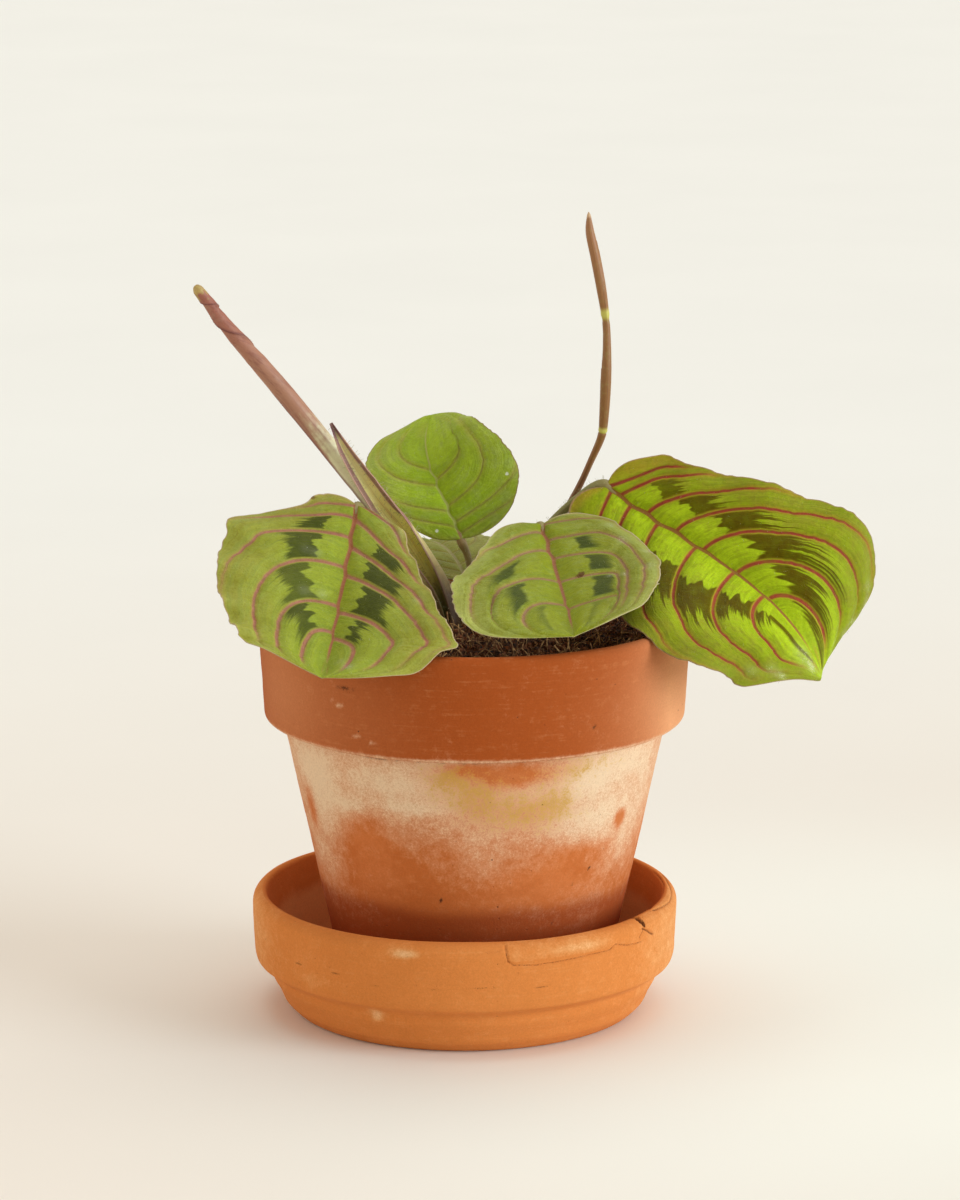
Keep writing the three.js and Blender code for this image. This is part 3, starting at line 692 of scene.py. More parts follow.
@dataclass
class Saucer:
    """The clay saucer with its stepped wall, mended rim crack and chip."""

    section: tuple[tuple[float, float], ...] = (
        (0, 0), (50.8, 0), (52.2, 0.6), (55.1, 3.4), (56.3, 6.5), (58.3, 10), (58.7, 12.6), (60.4, 14),
        (63.1, 15.6), (63.6, 18), (64.12, 28.5), (64.3, 32.8), (64, 34.2), (62.8, 35.7), (61.2, 36.4),
        (60.1, 36), (59.4, 34), (52.8, 12.4), (51, 10), (48, 9), (0, 9),
    )
    rim_height: float = 36.4
    chip_bearing: float = -34.3
    chip_half_width: float = 1.35
    chip_depth: float = 3.0
    cracks: tuple[Crack, ...] = (
        Crack(((-79, 35.4), (-79, 33.5), (-78.5, 30.9)), 0.3, 0.5),
        Crack(
            (
                (-78.5, 30.9), (-77, 29.7), (-71, 29.2), (-64, 29.5), (-55.5, 29.9), (-48, 29.9),
                (-46, 31.3), (-41, 29.8), (-35, 29.3),
            ),
            0.26,
            0.4,
        ),
        Crack(((-34.5, 33.4), (-32.2, 32), (-30.4, 30.8), (-28.8, 30)), 0.35, 0.6, 0.8),
        Crack(((-34, 33), (-35.5, 31.6), (-36, 30.6)), 0.25, 0.4, 0.6),
        Crack(((16, 35.9), (4, 36), (-5, 35.5), (-12, 35.2), (-18, 35.6), (-25, 36.1)), 0.22, 0.35),
    )
    groove: Crack = Crack(((-150, 33.9), (-120, 33.2), (-100, 33.5), (-81, 34.1)), 0.45, 0.25)
    # Pale patches; the two broad ones at bearings -14 and -172 are painted light on the saucer's sides.
    smudges_and_lit_sides: tuple[Patch, ...] = Patch.group(
        (-106, 33, 4.5, 1.6), (-116, 12, 2.4, 2.6), (-58, 33, 9, 1.4, 0.5), (-133, 20, 7, 2.5, 0.25),
        (80, 26, 9, 4, 0.5), (20, 22, 6, 4, 0.35), (150, 12, 8, 3, 0.45), (-14, 26, 24, 18, 0.55),
        (-172, 26, 26, 18, 0.5),
    )
    scuffs: tuple[Patch, ...] = Patch.group(
        (-140, 23.9, 1.8, 0.35), (-127, 24.1, 3.2, 0.4), (-112, 22.3, 4.2, 0.35, 0.8),
        (-85, 23.1, 5, 0.35, 0.7), (-69, 22.3, 3, 0.3, 0.8), (-120, 21.6, 2.6, 0.3, 0.7),
        (-98, 22.6, 3, 0.3, 0.6), (-133, 22.8, 2.2, 0.3, 0.6),
    )
    # Its fourth colour, paler than its body, is painted light for the inner wall.
    finish: ClayFinish = ClayFinish(
        "saucer_clay_worn", "#da813c", "#d07833", "#e4a060", "#e7a46a", "#d68645", "#e8ab6f",
        "#e5a769", "#eebe8b",
        grime="#5e3218",
    )

    RING_STEP = 1.3
    # Lowest and greatest height of the cracked wall, and the step between rings there
    FINE_BAND = (17.0, 37.0, 0.3)
    CRACKED = (-84.0, -22.0)
    CRACKED_STEP = 0.3
    PLAIN_COLUMNS = 190
    LIP_FROM = 35.3
    FLAP_HEIGHT = 0.18
    CHIP_LEAN = 0.32
    CHIP_MIDDLE = 61.5
    CHIP_ABOVE = 28.0
    CHIP_FLOOR_SLOPE = 0.04

    def bearings(self) -> Array:
        """Space the columns: close together along the crack, wider elsewhere."""
        start, end = self.CRACKED
        fine = np.arange(start, end, self.CRACKED_STEP)
        rest = np.linspace(end, start + 360, self.PLAIN_COLUMNS)[:-1]
        return np.concatenate([fine, rest])

    def chip(self, turning: Turning, points: Array) -> Array:
        """Break the chip out of the rim.

        Args:
            turning: The saucer's wall.
            points: The wall's points in mm, which are lowered where the chip is.

        Returns:
            How broken the clay is at each place, from nought to one.
        """
        across = np.radians(turning.bearings - self.chip_bearing) * turning.radii
        across = across - self.CHIP_LEAN * (turning.radii - self.CHIP_MIDDLE)
        ragged = 1 + 0.35 * lattice_noise(points / 0.9, 5)
        open_share = np.clip(1 - (np.abs(across) / (self.chip_half_width * ragged)) ** 2, 0, 1)
        floor = self.rim_height - self.chip_depth * open_share
        over = points[..., 2] - floor
        cut = (over > 0) & (open_share > 0) & (turning.heights > self.CHIP_ABOVE)
        points[..., 2] = np.where(cut, floor + self.CHIP_FLOOR_SLOPE * over, points[..., 2])
        return cut * np.clip(open_share * 2, 0, 1) * 0.9

    def build(self) -> list[bpy.types.Object]:
        """Turn the saucer, open its cracks and chip, paint light on its sides and inner wall, and dress it.
        """
        turning = Turning(self.section, self.bearings(), self.RING_STEP, fine=self.FINE_BAND)
        bearings, heights = turning.bearings, turning.heights
        outside = (turning.outward > 0.2) & (heights > 1)
        relief = turning.uneven(0.22, 22, 1) + turning.uneven(0.05, (40, 40, 1.6), 2)
        relief = relief * np.clip(heights / 4, 0, 1)
        damage = np.zeros_like(relief)
        lip = outside | (heights > self.LIP_FROM)
        for crack in self.cracks:
            near = turning.near(crack) * lip
            relief -= near * crack.depth
            damage = np.maximum(damage, near * crack.dark)
        groove = turning.near(self.groove) * outside
        relief -= groove * self.groove.depth
        flap = fade(-79.4, -78.9, bearings) * fade(-45, -52, bearings) * fade(30.2, 31.2, heights) * outside
        points = turning.wall(relief + self.FLAP_HEIGHT * flap)
        damage = np.maximum(damage, self.chip(turning, points))
        # Pale marks and painted light on the sides, carried in the limescale channel.
        pale = turning.spread(self.smudges_and_lit_sides) * outside + 0.25 * flap
        scuff = turning.spread(self.scuffs) * outside
        scuff = scuff * (0.45 + 0.9 * (lattice_noise(points / 0.8, 9) > 0))
        # Painted light: the saucer's inner wall turns paler, more so lower down.
        inside = ((turning.outward < 0.2) & (heights > 5)) * fade(33, 22, heights)
        zero = np.zeros_like(relief)
        grime = np.clip(damage * 0.95 + scuff * 0.55 + groove * 0.3, 0, 1)
        values = {
            "stain": np.stack([np.clip(pale, 0, 1) * 0.8, zero, inside + zero], -1),
            "marks": np.stack([zero, grime, zero + 0.6], -1),
        }
        piece = turning.skin(points, values).to_object("saucer_clay", self.finish.material())
        return [hand_over(piece, "saucer")]


@dataclass
class Pot:
    """The clay pot: tapered body, tall collar and drain hole."""

    axis: float = 3.0
    section: tuple[tuple[float, float], ...] = (
        (6, 10.1), (6.8, 9.3), (39.1, 9.3), (40.5, 10.5), (43.4, 24), (49.7, 53), (55.8, 81.6),
        (57.7, 90.3), (62.5, 90.3), (63.1, 91.2), (64.9, 118.5), (65, 120.3), (64.3, 121.6), (63, 122.1),
        (61.6, 121.8), (60.6, 120.9), (60.3, 120), (36, 15.3), (6, 14.8),
    )
    collar_foot: float = 90.3
    lime_by_height: tuple[float, ...] = (0.0, 0.0, 0.0, 0.02, 0.14, 0.28, 0.4, 0.5, 0.58, 0.62)
    lime: tuple[Patch, ...] = Patch.group(
        (-149, 82, 14, 9, 0.35), (-147, 70, 7, 9, 0.25), (-154, 55, 8, 16, 0.2), (-117, 81, 12, 5, 0.25),
        (-45, 84, 12, 5, 0.3), (-30, 82, 10, 8, 0.2), (-54, 78, 10, 5, 0.25), (-48, 69, 18, 5, 0.3),
        (-30, 58, 6, 10, 0.2), (-22, 66, 5, 14, 0.1), (-134, 72, 6, 2, 0.35), (-112, 74, 12, 2, 0.25),
        (-90, 43, 20, 8, -0.12), (-52, 62, 12, 6, 0.2), (-127, 57, 9, 11, -0.6), (-115, 50, 10, 7, -0.42),
        (-100, 60, 7, 4, -0.15), (-157, 66, 3, 6, -0.5), (-35, 66, 2.4, 2.4, -1.1), (-55, 58, 12, 4, -0.35),
        (-64, 50, 14, 5, -0.35), (-79, 85, 10, 3.6, -0.7), (-92, 87, 6, 2, -0.6), (90, 60, 22, 13, -0.5),
        (25, 72, 15, 8, 0.2), (140, 50, 20, 12, -0.4), (60, 48, 14, 8, -0.35), (170, 76, 16, 8, 0.2),
    )
    ochre: tuple[Patch, ...] = Patch.group(
        (-99, 84, 8, 4.5, 1.1), (-91, 79, 10, 6, 0.8), (-80, 73.5, 16, 6.5, 0.8), (-65, 73, 13, 6, 0.65),
        (-55, 86, 14, 3.6, 0.95), (-63, 79, 7, 8, 0.5), (108, 83, 12, 3, 0.6), (40, 86, 10, 2.4, 0.5),
    )
    bare: tuple[Patch, ...] = Patch.group(
        (-92, 87, 6, 1.8, 0.5), (-79, 85, 9, 3.4, 0.6), (-69, 81, 5, 2.8, 0.4), (-35, 66, 2.2, 2.2, 0.8),
        (-104, 66, 10, 4, 0.25),
    )
    grime: tuple[Patch, ...] = Patch.group(
        (-29, 44, 0.6, 0.6), (-54, 48, 0.5, 0.5), (-38, 40, 0.5, 0.5), (-102, 45, 0.5, 0.5),
        (-89, 37, 0.5, 0.5), (-60, 36, 0.5, 0.5), (-51, 43, 0.6, 0.4), (-47, 52, 0.5, 0.5),
        (-41, 47, 0.4, 0.5), (-33, 52, 0.4, 0.4), (-85, 104, 0.5, 0.5), (-57, 99, 0.5, 0.5),
        (-126, 110.6, 2.2, 0.5, 0.75), (-124.5, 109.6, 1.0, 0.6, 0.8), (-128, 110, 0.6, 0.7, 0.7),
        (-122.5, 110.3, 0.6, 0.6, 0.6), (-121, 89.3, 5, 0.6, 0.5), (-140, 89, 6, 0.5, 0.35),
        (-95, 89.5, 5, 0.4, 0.3), (-28, 89, 6, 0.6, 0.35), (-83, 117.5, 2.4, 0.8, 0.3),
    )
    scratches: tuple[Crack, ...] = (
        Crack(((-131, 107), (-128, 104.5), (-126.5, 104.8)), 0.35, 0.03),
        Crack(((-124, 96.6), (-121, 96), (-117, 95.7)), 0.3, 0.03),
        Crack(((-119, 94.9), (-116, 94.6)), 0.25, 0.03),
    )
    # Painted light on the collar: a broad pale patch on its lamp-lit right side and fainter ones at its left.
    painted_light: tuple[Patch, ...] = Patch.group(
        (-4, 104, 33, 30, 1.75), (-152, 106, 28, 30, 0.4), (-118, 104, 15, 30, 0.06),
    )
    finish: ClayFinish = ClayFinish("pot_clay_worn", "#ca743e", "#bf6831", "#d08754", "#9a451b")

    RING_STEP = 1.5
    COLUMN_STEP = 1.1
    FOOT_EDGE = 9.5

    def build(self) -> list[bpy.types.Object]:
        """Turn the pot, stain it as water and soil have, paint light on its collar, and dress it."""
        bearings = np.arange(-180.0, 180.0, self.COLUMN_STEP)
        turning = Turning(self.section, bearings, self.RING_STEP, self.axis, open_middle=True)
        heights, plain = turning.heights, turning.wall()
        lip = int(np.argmax(heights))
        outer = (np.arange(len(heights))[:, None] <= lip) & (heights > self.FOOT_EDGE)
        body = outer & (heights < self.collar_foot - 0.2)
        collar = outer & ~body
        relief = turning.uneven(0.2, 26, 11) + turning.uneven(0.06, (45, 45, 2.2), 12)
        relief = (relief + collar * turning.uneven(0.07, (70, 70, 3.1), 13)) * outer
        lime = station(self.lime_by_height, heights / self.collar_foot) + turning.spread(self.lime)
        edge_line = collar * hump(heights - self.collar_foot - 0.6, 0.7) * 0.55
        scratch = sum(turning.near(crack) for crack in self.scratches) * collar
        lime = np.clip(lime, 0, 1.1) * body + edge_line + scratch * 0.6
        ochre = turning.spread(self.ochre) * body
        # Bare clay on the body; painted light on the collar.
        bare = turning.spread(self.bare) * body + turning.spread(self.painted_light) * collar
        damp_and_light = fade(50, 33, heights) * body + fade(119, 110, heights) * ~outer
        inner_edge = ~outer & (heights > 100)
        grime = turning.spread(self.grime) * outer + inner_edge * fade(121.5, 118, heights) * 0.35
        under_collar = body * hump(heights - self.collar_foot + 1.0, 0.9)
        grime = grime + under_collar * (0.3 + 0.5 * lattice_noise(plain / 2.2, 15))
        zero = np.zeros_like(relief)
        values = {
            "stain": np.stack([lime + zero, ochre, damp_and_light + zero], -1),
            "marks": np.stack([bare, np.clip(grime, 0, 1), collar + zero], -1),
        }
        piece = turning.skin(turning.wall(relief), values).to_object("pot_clay", self.finish.material())
        return [hand_over(piece, "pot")]


class Grain(Enum):
    """What a scatter tree strews over its ground."""

    CRUMB = "crumb"
    FIBRE = "fibre"
    HAIR = "hair"


@dataclass(frozen=True)
class Scatter:
    """A Geometry Nodes tree that strews small grains over a ground mesh."""

    grain: Grain
    per_square_mm: float
    smallest: float
    largest: float
    seed: int

    CRUMB_FLATNESS = 0.55
    FIBRE_THINNESS = 0.035
    HAIR_THINNESS = 0.04

    def tree(self) -> bpy.types.NodeTree:
        """Build the tree: points on the ground, one grain on each, made real and dressed."""
        tree = bpy.data.node_groups.new(f"strew_{self.grain.value}", "GeometryNodeTree")
        sockets = (
            ("Ground", "INPUT", "NodeSocketGeometry"), ("Per square metre", "INPUT", "NodeSocketFloat"),
            ("Smallest", "INPUT", "NodeSocketFloat"), ("Largest", "INPUT", "NodeSocketFloat"),
            ("Seed", "INPUT", "NodeSocketInt"), ("Finish", "INPUT", "NodeSocketMaterial"),
            ("Grains", "OUTPUT", "NodeSocketGeometry"),
        )
        for name, way, kind in sockets:
            tree.interface.new_socket(name, in_out=way, socket_type=kind)
        given = make_node(tree, "NodeGroupInput").outputs
        seed = given["Seed"]
        sockets = {"Mesh": given["Ground"], "Density": given["Per square metre"], "Seed": seed}
        spread = make_node(tree, "GeometryNodeDistributePointsOnFaces", sockets).outputs
        sockets = {2: given["Smallest"], 3: given["Largest"], "Seed": seed}
        size = make_node(tree, "FunctionNodeRandomValue", sockets).outputs[1]
        turned = self.turn(tree, spread["Rotation"], seed)
        sockets = {"Points": spread["Points"], "Instance": self.shape(tree)}
        sockets.update({"Rotation": turned, "Scale": size})
        grains = make_node(tree, "GeometryNodeInstanceOnPoints", sockets).outputs[0]
        real = make_node(tree, "GeometryNodeRealizeInstances", {0: grains}).outputs[0]
        sockets = {"Geometry": real, "Material": given["Finish"]}
        dressed = make_node(tree, "GeometryNodeSetMaterial", sockets).outputs[0]
        make_node(tree, "NodeGroupOutput", {"Grains": dressed})
        return tree

    def turn(
        self, tree: bpy.types.NodeTree, upright: bpy.types.NodeSocket, seed: bpy.types.NodeSocket
    ) -> bpy.types.NodeSocket:
        """Turn each grain at random, freely for a crumb and within a lean for the rest."""
        lean = {Grain.CRUMB: math.pi, Grain.FIBRE: 1.35, Grain.HAIR: 0.5}[self.grain]
        sockets = {0: (-lean, -lean, -math.pi), 1: (lean, lean, math.pi), "Seed": seed}
        spin = make_node(tree, "FunctionNodeRandomValue", sockets, data_type="FLOAT_VECTOR").outputs[0]
        sockets = {0: upright, 1: spin}
        return make_node(tree, "FunctionNodeRotateRotation", sockets, rotation_space="LOCAL").outputs[0]

    def shape(self, tree: bpy.types.NodeTree) -> bpy.types.NodeSocket:
        """Make one grain of unit size."""
        if self.grain is Grain.CRUMB:
            ball = make_node(tree, "GeometryNodeMeshIcoSphere", {"Radius": 0.5}).outputs[0]
            sockets = {0: ball, "Scale": (1.0, 0.75, self.CRUMB_FLATNESS)}
            return make_node(tree, "GeometryNodeTransform", sockets).outputs[0]
        if self.grain is Grain.FIBRE:
            parts, thin = 6, self.FIBRE_THINNESS
            middle, end = (0.35, 0.1, 0.5), (0.05, 0.45, 0.8)
        else:
            parts, thin = 3, self.HAIR_THINNESS
            middle, end = (0.02, 0.0, 0.5), (0.15, 0.0, 1.0)
        sockets = {"Resolution": parts, "Start": (0.0, 0.0, 0.0), "Middle": middle, "End": end}
        line = make_node(tree, "GeometryNodeCurveQuadraticBezier", sockets).outputs[0]
        sockets = {"Resolution": 3, "Radius": thin}
        ring = make_node(tree, "GeometryNodeCurvePrimitiveCircle", sockets).outputs[0]
        sockets = {"Curve": line, "Profile Curve": ring, "Fill Caps": True}
        return make_node(tree, "GeometryNodeCurveToMesh", sockets).outputs[0]

    def strew(self, ground: bpy.types.Object, name: str, finish: bpy.types.Material) -> bpy.types.Object:
        """Strew the grains and make them a plain mesh.

        Args:
            ground: The mesh that they lie on, which keeps no trace of them.
            name: The new piece's name.
            finish: Their material.

        Returns:
            The new piece.
        """
        tree = self.tree()
        modifier = ground.modifiers.new(name, "NODES")
        modifier.node_group = tree
        values = {
            "Per square metre": self.per_square_mm / MM**2, "Smallest": self.smallest * MM,
            "Largest": self.largest * MM, "Seed": self.seed, "Finish": finish,
        }
        for item in tree.interface.items_tree:
            if item.name in values:
                modifier[item.identifier] = values[item.name]
        seen = ground.evaluated_get(bpy.context.evaluated_depsgraph_get())
        mesh = bpy.data.meshes.new_from_object(seen)
        mesh.name = name
        ground.modifiers.remove(modifier)
        return put(name, mesh)


@dataclass
class Peat:
    """The peat that fills the pot, with crumbs and root fibres on top."""

    axis: float = 3.0
    level: float = 116.6
    relief: float = 1.3
    foot: float = 15.2
    gap: float = 0.15
    wall: tuple[tuple[float, float], tuple[float, float]] = ((60.3, 120.0), (36.0, 15.3))
    rings: int = 75
    around: int = 300
    crumbs: tuple[Scatter, ...] = (
        Scatter(Grain.CRUMB, 0.42, 0.7, 2.6, 3),
        Scatter(Grain.CRUMB, 0.22, 0.5, 1.4, 8),
    )
    crumb_colours: tuple[tuple[str, str], ...] = (("#3a200d", "#94562c"), ("#241208", "#b07a48"))
    fibres: Scatter = Scatter(Grain.FIBRE, 0.14, 1.8, 7.5, 5)
    fibre_colours: tuple[str, str] = ("#84572f", "#d6a86c")

    MIDDLE_SHARE = 0.02
    WALL_HEIGHTS = (112.0, 90.0, 60.0, 30.0)
    FLOOR_SHARES = (1.0, 0.6, 0.2)
    DIP_AT_WALL = 0.8

    def reach(self, height: float | Array) -> float | Array:
        """Give the radius of the pot's inside at a height, less the gap."""
        (top_radius, top), (low_radius, low) = self.wall
        return low_radius + (top_radius - low_radius) * (height - low) / (top - low) - self.gap

    def lumps(self, x: Array, y: Array) -> Array:
        """Give the height of the soil's surface over its level, by distance from the pot's axis."""
        swell = 0.6 * np.sin(x / 7.3 + 1.1) * np.cos(y / 6.1 - 0.4)
        ripple = 0.5 * np.sin(x / 3.1 + y / 4.3) * np.cos(y / 2.7 - x / 5.9)
        where = np.stack([x, y, x * 0], -1)
        crumble = 0.55 * lattice_noise(where / 2.3, 21) + 0.4 * lattice_noise(where / 1.1, 22)
        return self.relief * (swell + ripple) + crumble

    def earth(self) -> bpy.types.Material:
        """Build dark peat: brown crumbs, black hollows and pale threads."""
        r = Recipe("peat_dark")
        place = r.place()
        clod = r.noise(place, 0.5, 4, 0.7)
        fine = r.noise(place, 2.2, 3, 0.7)
        x, y, z = r.parts(place)
        thread = r.noise(r.vector(x * 0.6, y * 3.5, z * 1.2), 1.0, 3, 0.6, 1.5)
        colour = r.mix(r.rise(clod + (fine - 0.5) * 0.6, 0.3, 0.75), "#2c170b", "#8a4c24")
        colour = r.mix(r.rise(thread, 0.62, 0.72) * 0.6, colour, "#8d5a34")
        height = clod * 0.5 + fine * 0.25
        r.set_gloss(0.1)
        return r.finish(colour, 0.95 - fine * 0.15, height)

    def litter(self, name: str, dark: str, pale: str) -> bpy.types.Material:
        """Build the finish of crumbs or fibres, varied by place.

        Args:
            name: The material's name.
            dark: The colour of most of them.
            pale: The colour of the others.

        Returns:
            The material.
        """
        r = Recipe(name)
        place = r.place()
        patch = r.noise(place, 0.45, 3, 0.7)
        fine = r.noise(place, 3.0, 2, 0.6)
        colour = r.mix(r.rise(patch, 0.42, 0.66), paint(dark), paint(pale))
        return r.finish(r.shaded(colour, fine * 0.8 + 0.6), 0.85 + (fine - 0.5) * 0.2, fine * 0.2)

    def build(self) -> list[bpy.types.Object]:
        """Fill the pot and strew the litter on top."""
        angle = full_turn(self.around)
        rim = self.reach(self.level)
        radius = np.linspace(self.MIDDLE_SHARE, 1.0, self.rings)[:, None] * rim
        x, y = radius * np.cos(angle), radius * np.sin(angle)
        edge = 1 - 0.25 * fade(rim - 3, rim, radius)
        z = self.level + self.lumps(x, y) * edge - self.DIP_AT_WALL * fade(rim - 4, rim, radius)
        floor = [self.foot] * len(self.FLOOR_SHARES)
        heights = np.array([*self.WALL_HEIGHTS, *floor])[:, None]
        shares = np.array([1.0] * len(self.WALL_HEIGHTS) + list(self.FLOOR_SHARES))[:, None]
        reach = self.reach(heights) * shares
        walls = np.stack([reach * np.cos(angle), reach * np.sin(angle), heights + angle * 0], -1)
        rings = np.concatenate([np.stack([x, y, z], -1), walls])
        rings[..., 0] += self.axis
        soil = hand_over(capped_rings(rings).to_object("peat", self.earth()), "soil")
        cover = capped_rings(rings[: self.rings])
        cover.faces = cover.faces[:2]
        ground = cover.to_object("litter_ground", soil.data.materials[0])
        litter = []
        for k, (crumbs, colours) in enumerate(zip(self.crumbs, self.crumb_colours)):
            litter.append(crumbs.strew(ground, f"peat_crumbs_{k}", self.litter(f"crumb_{k}", *colours)))
        litter.append(self.fibres.strew(ground, "peat_fibres", self.litter("fibre", *self.fibre_colours)))
        bpy.data.objects.remove(ground)
        return [soil, *(hand_over(piece) for piece in litter)]


@dataclass(frozen=True)
class Veins:
    """How the side veins of half a blade leave the midrib and sweep towards the margin."""

    starts: tuple[float, ...]
    reach: tuple[float, ...]
    bend: float
    power: float

    HALVINGS = 40
    BEYOND = 0.45

    def sideways(self, s: Array, root: Array) -> Array:
        """Give how far across the half a vein from a root stands, at a place along the midrib."""
        run = np.clip((s - root) / (1 - root), 0, None)
        return station(self.reach, np.clip(root, 0, 1)) * (1 - np.exp(-((run / self.bend) ** self.power)))

    def root(self, s: Array, across: Array) -> Array:
        """Find where on the midrib the vein through each place would start."""
        low = np.full_like(s, -2.0)
        high = s.copy()
        for _ in range(self.HALVINGS):
            middle = (low + high) / 2
            beyond = self.sideways(s, middle) > across
            low = np.where(beyond, middle, low)
            high = np.where(beyond, high, middle)
        return (low + high) / 2

    def number(self, s: Array, across: Array) -> Array:
        """Number the places of the half: whole on a vein and in between elsewhere."""
        root = self.root(s, across)
        starts = np.array(self.starts)
        count = np.arange(len(starts))
        inner = np.interp(root, starts, count)
        before = (root - starts[0]) / (starts[1] - starts[0])
        after = count[-1] + (root - starts[-1]) / (starts[-1] - starts[-2])
        return np.where(root < starts[0], before, np.where(root > starts[-1], after, inner))

    def run(self, s: Array, across: Array) -> Array:
        """Tell how far along its vein each place lies: nought at the midrib and one at the tip."""
        root = self.root(s, across)
        return np.clip((s - root) / np.maximum(1 - root, 1e-3), 0, 1)


@dataclass(frozen=True)
class Half:
    """One half of a blade, from its midrib to its margin.

    Blotches are given by vein number, inner edge, outer edge and strength. Swells and nicks change the
    margin by place, size and, for a nick, length. Scuffs are given by place along, place across, size in
    mm and strength: pale above nought and brown below it. A pale scuff also gets a soft painted sheen
    round it, and a broad one can be painted sheen alone.
    """

    width: tuple[float, ...]
    fold: tuple[float, ...]
    curl: tuple[float, ...]
    lobe: float
    phase: float
    veins: Veins
    blotches: tuple[tuple[int, float, float, float], ...] = ()
    swells: tuple[tuple[float, float], ...] = ()
    nicks: tuple[tuple[float, float, float], ...] = ()
    scuffs: tuple[tuple[float, float, float, float], ...] = ()

    def blotch(self, number: Array) -> Array:
        """Give the inner edge, outer edge and strength of the blotch at each vein number."""
        values = np.zeros(number.shape + (3,))
        values[..., 1] = 0.01
        for gap, inner, outer, strength in self.blotches:
            here = np.floor(number) == gap
            values[here] = (inner, outer, strength)
        return values


@dataclass(frozen=True)
class LeafLook:
    """The colours and strengths of one blade's finish."""

    name: str
    bright: str
    outer: str
    far: str
    blotch: str
    vein: str
    rib: str
    rim: str
    dust: str = "#a8ae66"
    under: str = "#8b7468"
    deep: str = "#5e7420"
    # Colour of pale specks and of the painted sheen round them.
    lint_and_sheen: str = "#dcdccb"
    rot: str = "#5c3018"
    deep_share: float = 0.35
    tip_shade: float = 0.0
    vein_width: float = 0.42
    vein_strength: float = 1.0
    fringe: str = "#a68a48"
    fringe_share: float = 0.5
    vein_end: float = 0.62
    rib_width: float = 0.5
    rib_lines: float = 0.0
    rib_fade: float = 0.8
    bloom: float = 0.5
    gloss: float = 0.3
    sheen: str = "#e2e8b4"
    flesh: Point = (0.9, 1.0, 0.25)
    roughness: float = 0.46
    softness: float = 0.014
    inset: float = 0.45
    teeth: float = 0.1
    feather: float = 0.1
    slant: float = 0.14
    fibre: float = 0.3
    fleck: float = 0.5

    def material(self) -> bpy.types.Material:
        """Build the leaf: tissue with painted shade along the veins, blotches, fringed veins, midrib, margin,
        painted shade towards the tip, scuffs with painted sheen, and underside.
        """
        r = Recipe(self.name)
        place = r.place()
        number, across, spacing = r.parts(r.attribute("veins"))
        rib, rim, upper = r.parts(r.attribute("edges"))
        inner, outer, strength = r.parts(r.attribute("blotch"))
        s, run, wear_and_sheen = r.parts(r.attribute("leaf"))
        gap = r.maths("FRACT", number)
        off = r.maths("ABSOLUTE", number - r.maths("ROUND", number)) * spacing
        streak = r.noise(r.vector(number * 11, across * 4.0, upper), 1.0, 3, 0.6)
        fine_streak = r.noise(r.vector(number * 40, across * 7, upper), 1.0, 2, 0.6)
        cloud = r.noise(place, 0.07, 3, 0.5)
        mottle = r.noise(place, 0.3, 4, 0.6)
        grain = r.noise(place, 2.4, 3, 0.7)
        fleck = r.noise(place, 0.9, 3, 0.65)
        # Tissue, paler or darker in streaks along the veins
        body = r.mix(r.rise(across + (cloud - 0.5) * 0.6, 0.3, 0.85), self.bright, self.outer)
        body = r.mix(r.rise(across + (streak - 0.5) * 0.6, 0.75, 1.15) * 0.8, body, self.far)
        calm = 1 - r.rise(run, 0.45, 0.8)
        dusty = r.rise(mottle + (grain - 0.5) * 0.5 + (streak - 0.5) * 0.3 * calm + across * 0.2, 0.5, 0.85)
        body = r.mix(dusty * self.bloom, body, self.dust)
        tangle = (streak - 0.5) * calm * 1.6 + (mottle - 0.5) * 0.6 + 0.5
        # Painted shade: a darker band along both sides of each vein, for the shade of the quilted tissue.
        painted_vein_shade = r.rise(off, 0.5, 1.3) * (1 - r.rise(off, 1.3, 3.4)) * (1 - r.rise(across, 0.5, 0.95))
        deepened = r.clamped(r.rise(tangle, 0.4, 0.75) + painted_vein_shade * 0.5) * self.deep_share
        body = r.mix(deepened, body, self.deep)
        # Blotches between the veins
        tongue = 1 - (gap * 2 - 1) ** 2
        slanted = across + (gap - 0.5) * self.slant
        tooth = r.noise(r.vector(number * 5.5, across * 1.5, upper), 1.0, 1, 0.5)
        start = inner + (tongue - 0.5) * 0.05 + (tooth - 0.5) * self.teeth * 2.4
        end = outer + (streak - 0.5) * self.feather * 2.4 * calm + (tooth - 0.5) * self.teeth
        end = end - (tongue - 0.5) * 0.03
        soft = self.softness
        dark = r.rise(slanted, start - soft, start + soft)
        dark = dark * (1 - r.rise(slanted, end - soft * 2.5, end + soft * 2.5))
        dark = dark * r.rise(off, self.inset, self.inset + soft * 40) * strength
        dusk = (cloud - 0.5) * 0.2 + (mottle - 0.5) * 0.4 + 0.95
        body = r.mix(r.clamped(dark * dusk), body, self.blotch)
        # Veins with their fringe
        width = (1.15 - across * 0.5) * self.vein_width * (fleck * 0.9 + 0.55)
        line = 1 - r.rise(off, width * 0.5, width * 1.3)
        ending = run + (cloud - 0.5) * 0.2
        line = line * (1 - r.rise(ending, self.vein_end, self.vein_end + 0.25)) * r.rise(rib, 0.2, 0.8)
        line = line * (1 - r.rise(across, 0.86, 1.0))
        fringe = (1 - r.rise(off, 0.3, 1.5)) * (1 - r.rise(ending, 0.65, 0.9)) * r.rise(rib, 0.2, 0.8)
        body = r.mix(fringe * (mottle + 0.5) * self.fringe_share, body, self.fringe)
        vivid = r.clamped(line * (0.6 + mottle * 0.7)) * self.vein_strength
        body = r.mix(vivid, body, self.vein)
        texture = ((fine_streak - 0.5) * self.fibre + (streak - 0.5) * self.fibre * 1.3) * calm
        spots = (grain - 0.5) * 0.35 + (mottle - 0.5) * 0.5 + (fleck - 0.5) * self.fleck
        body = r.shaded(body, texture + spots + 1.0)
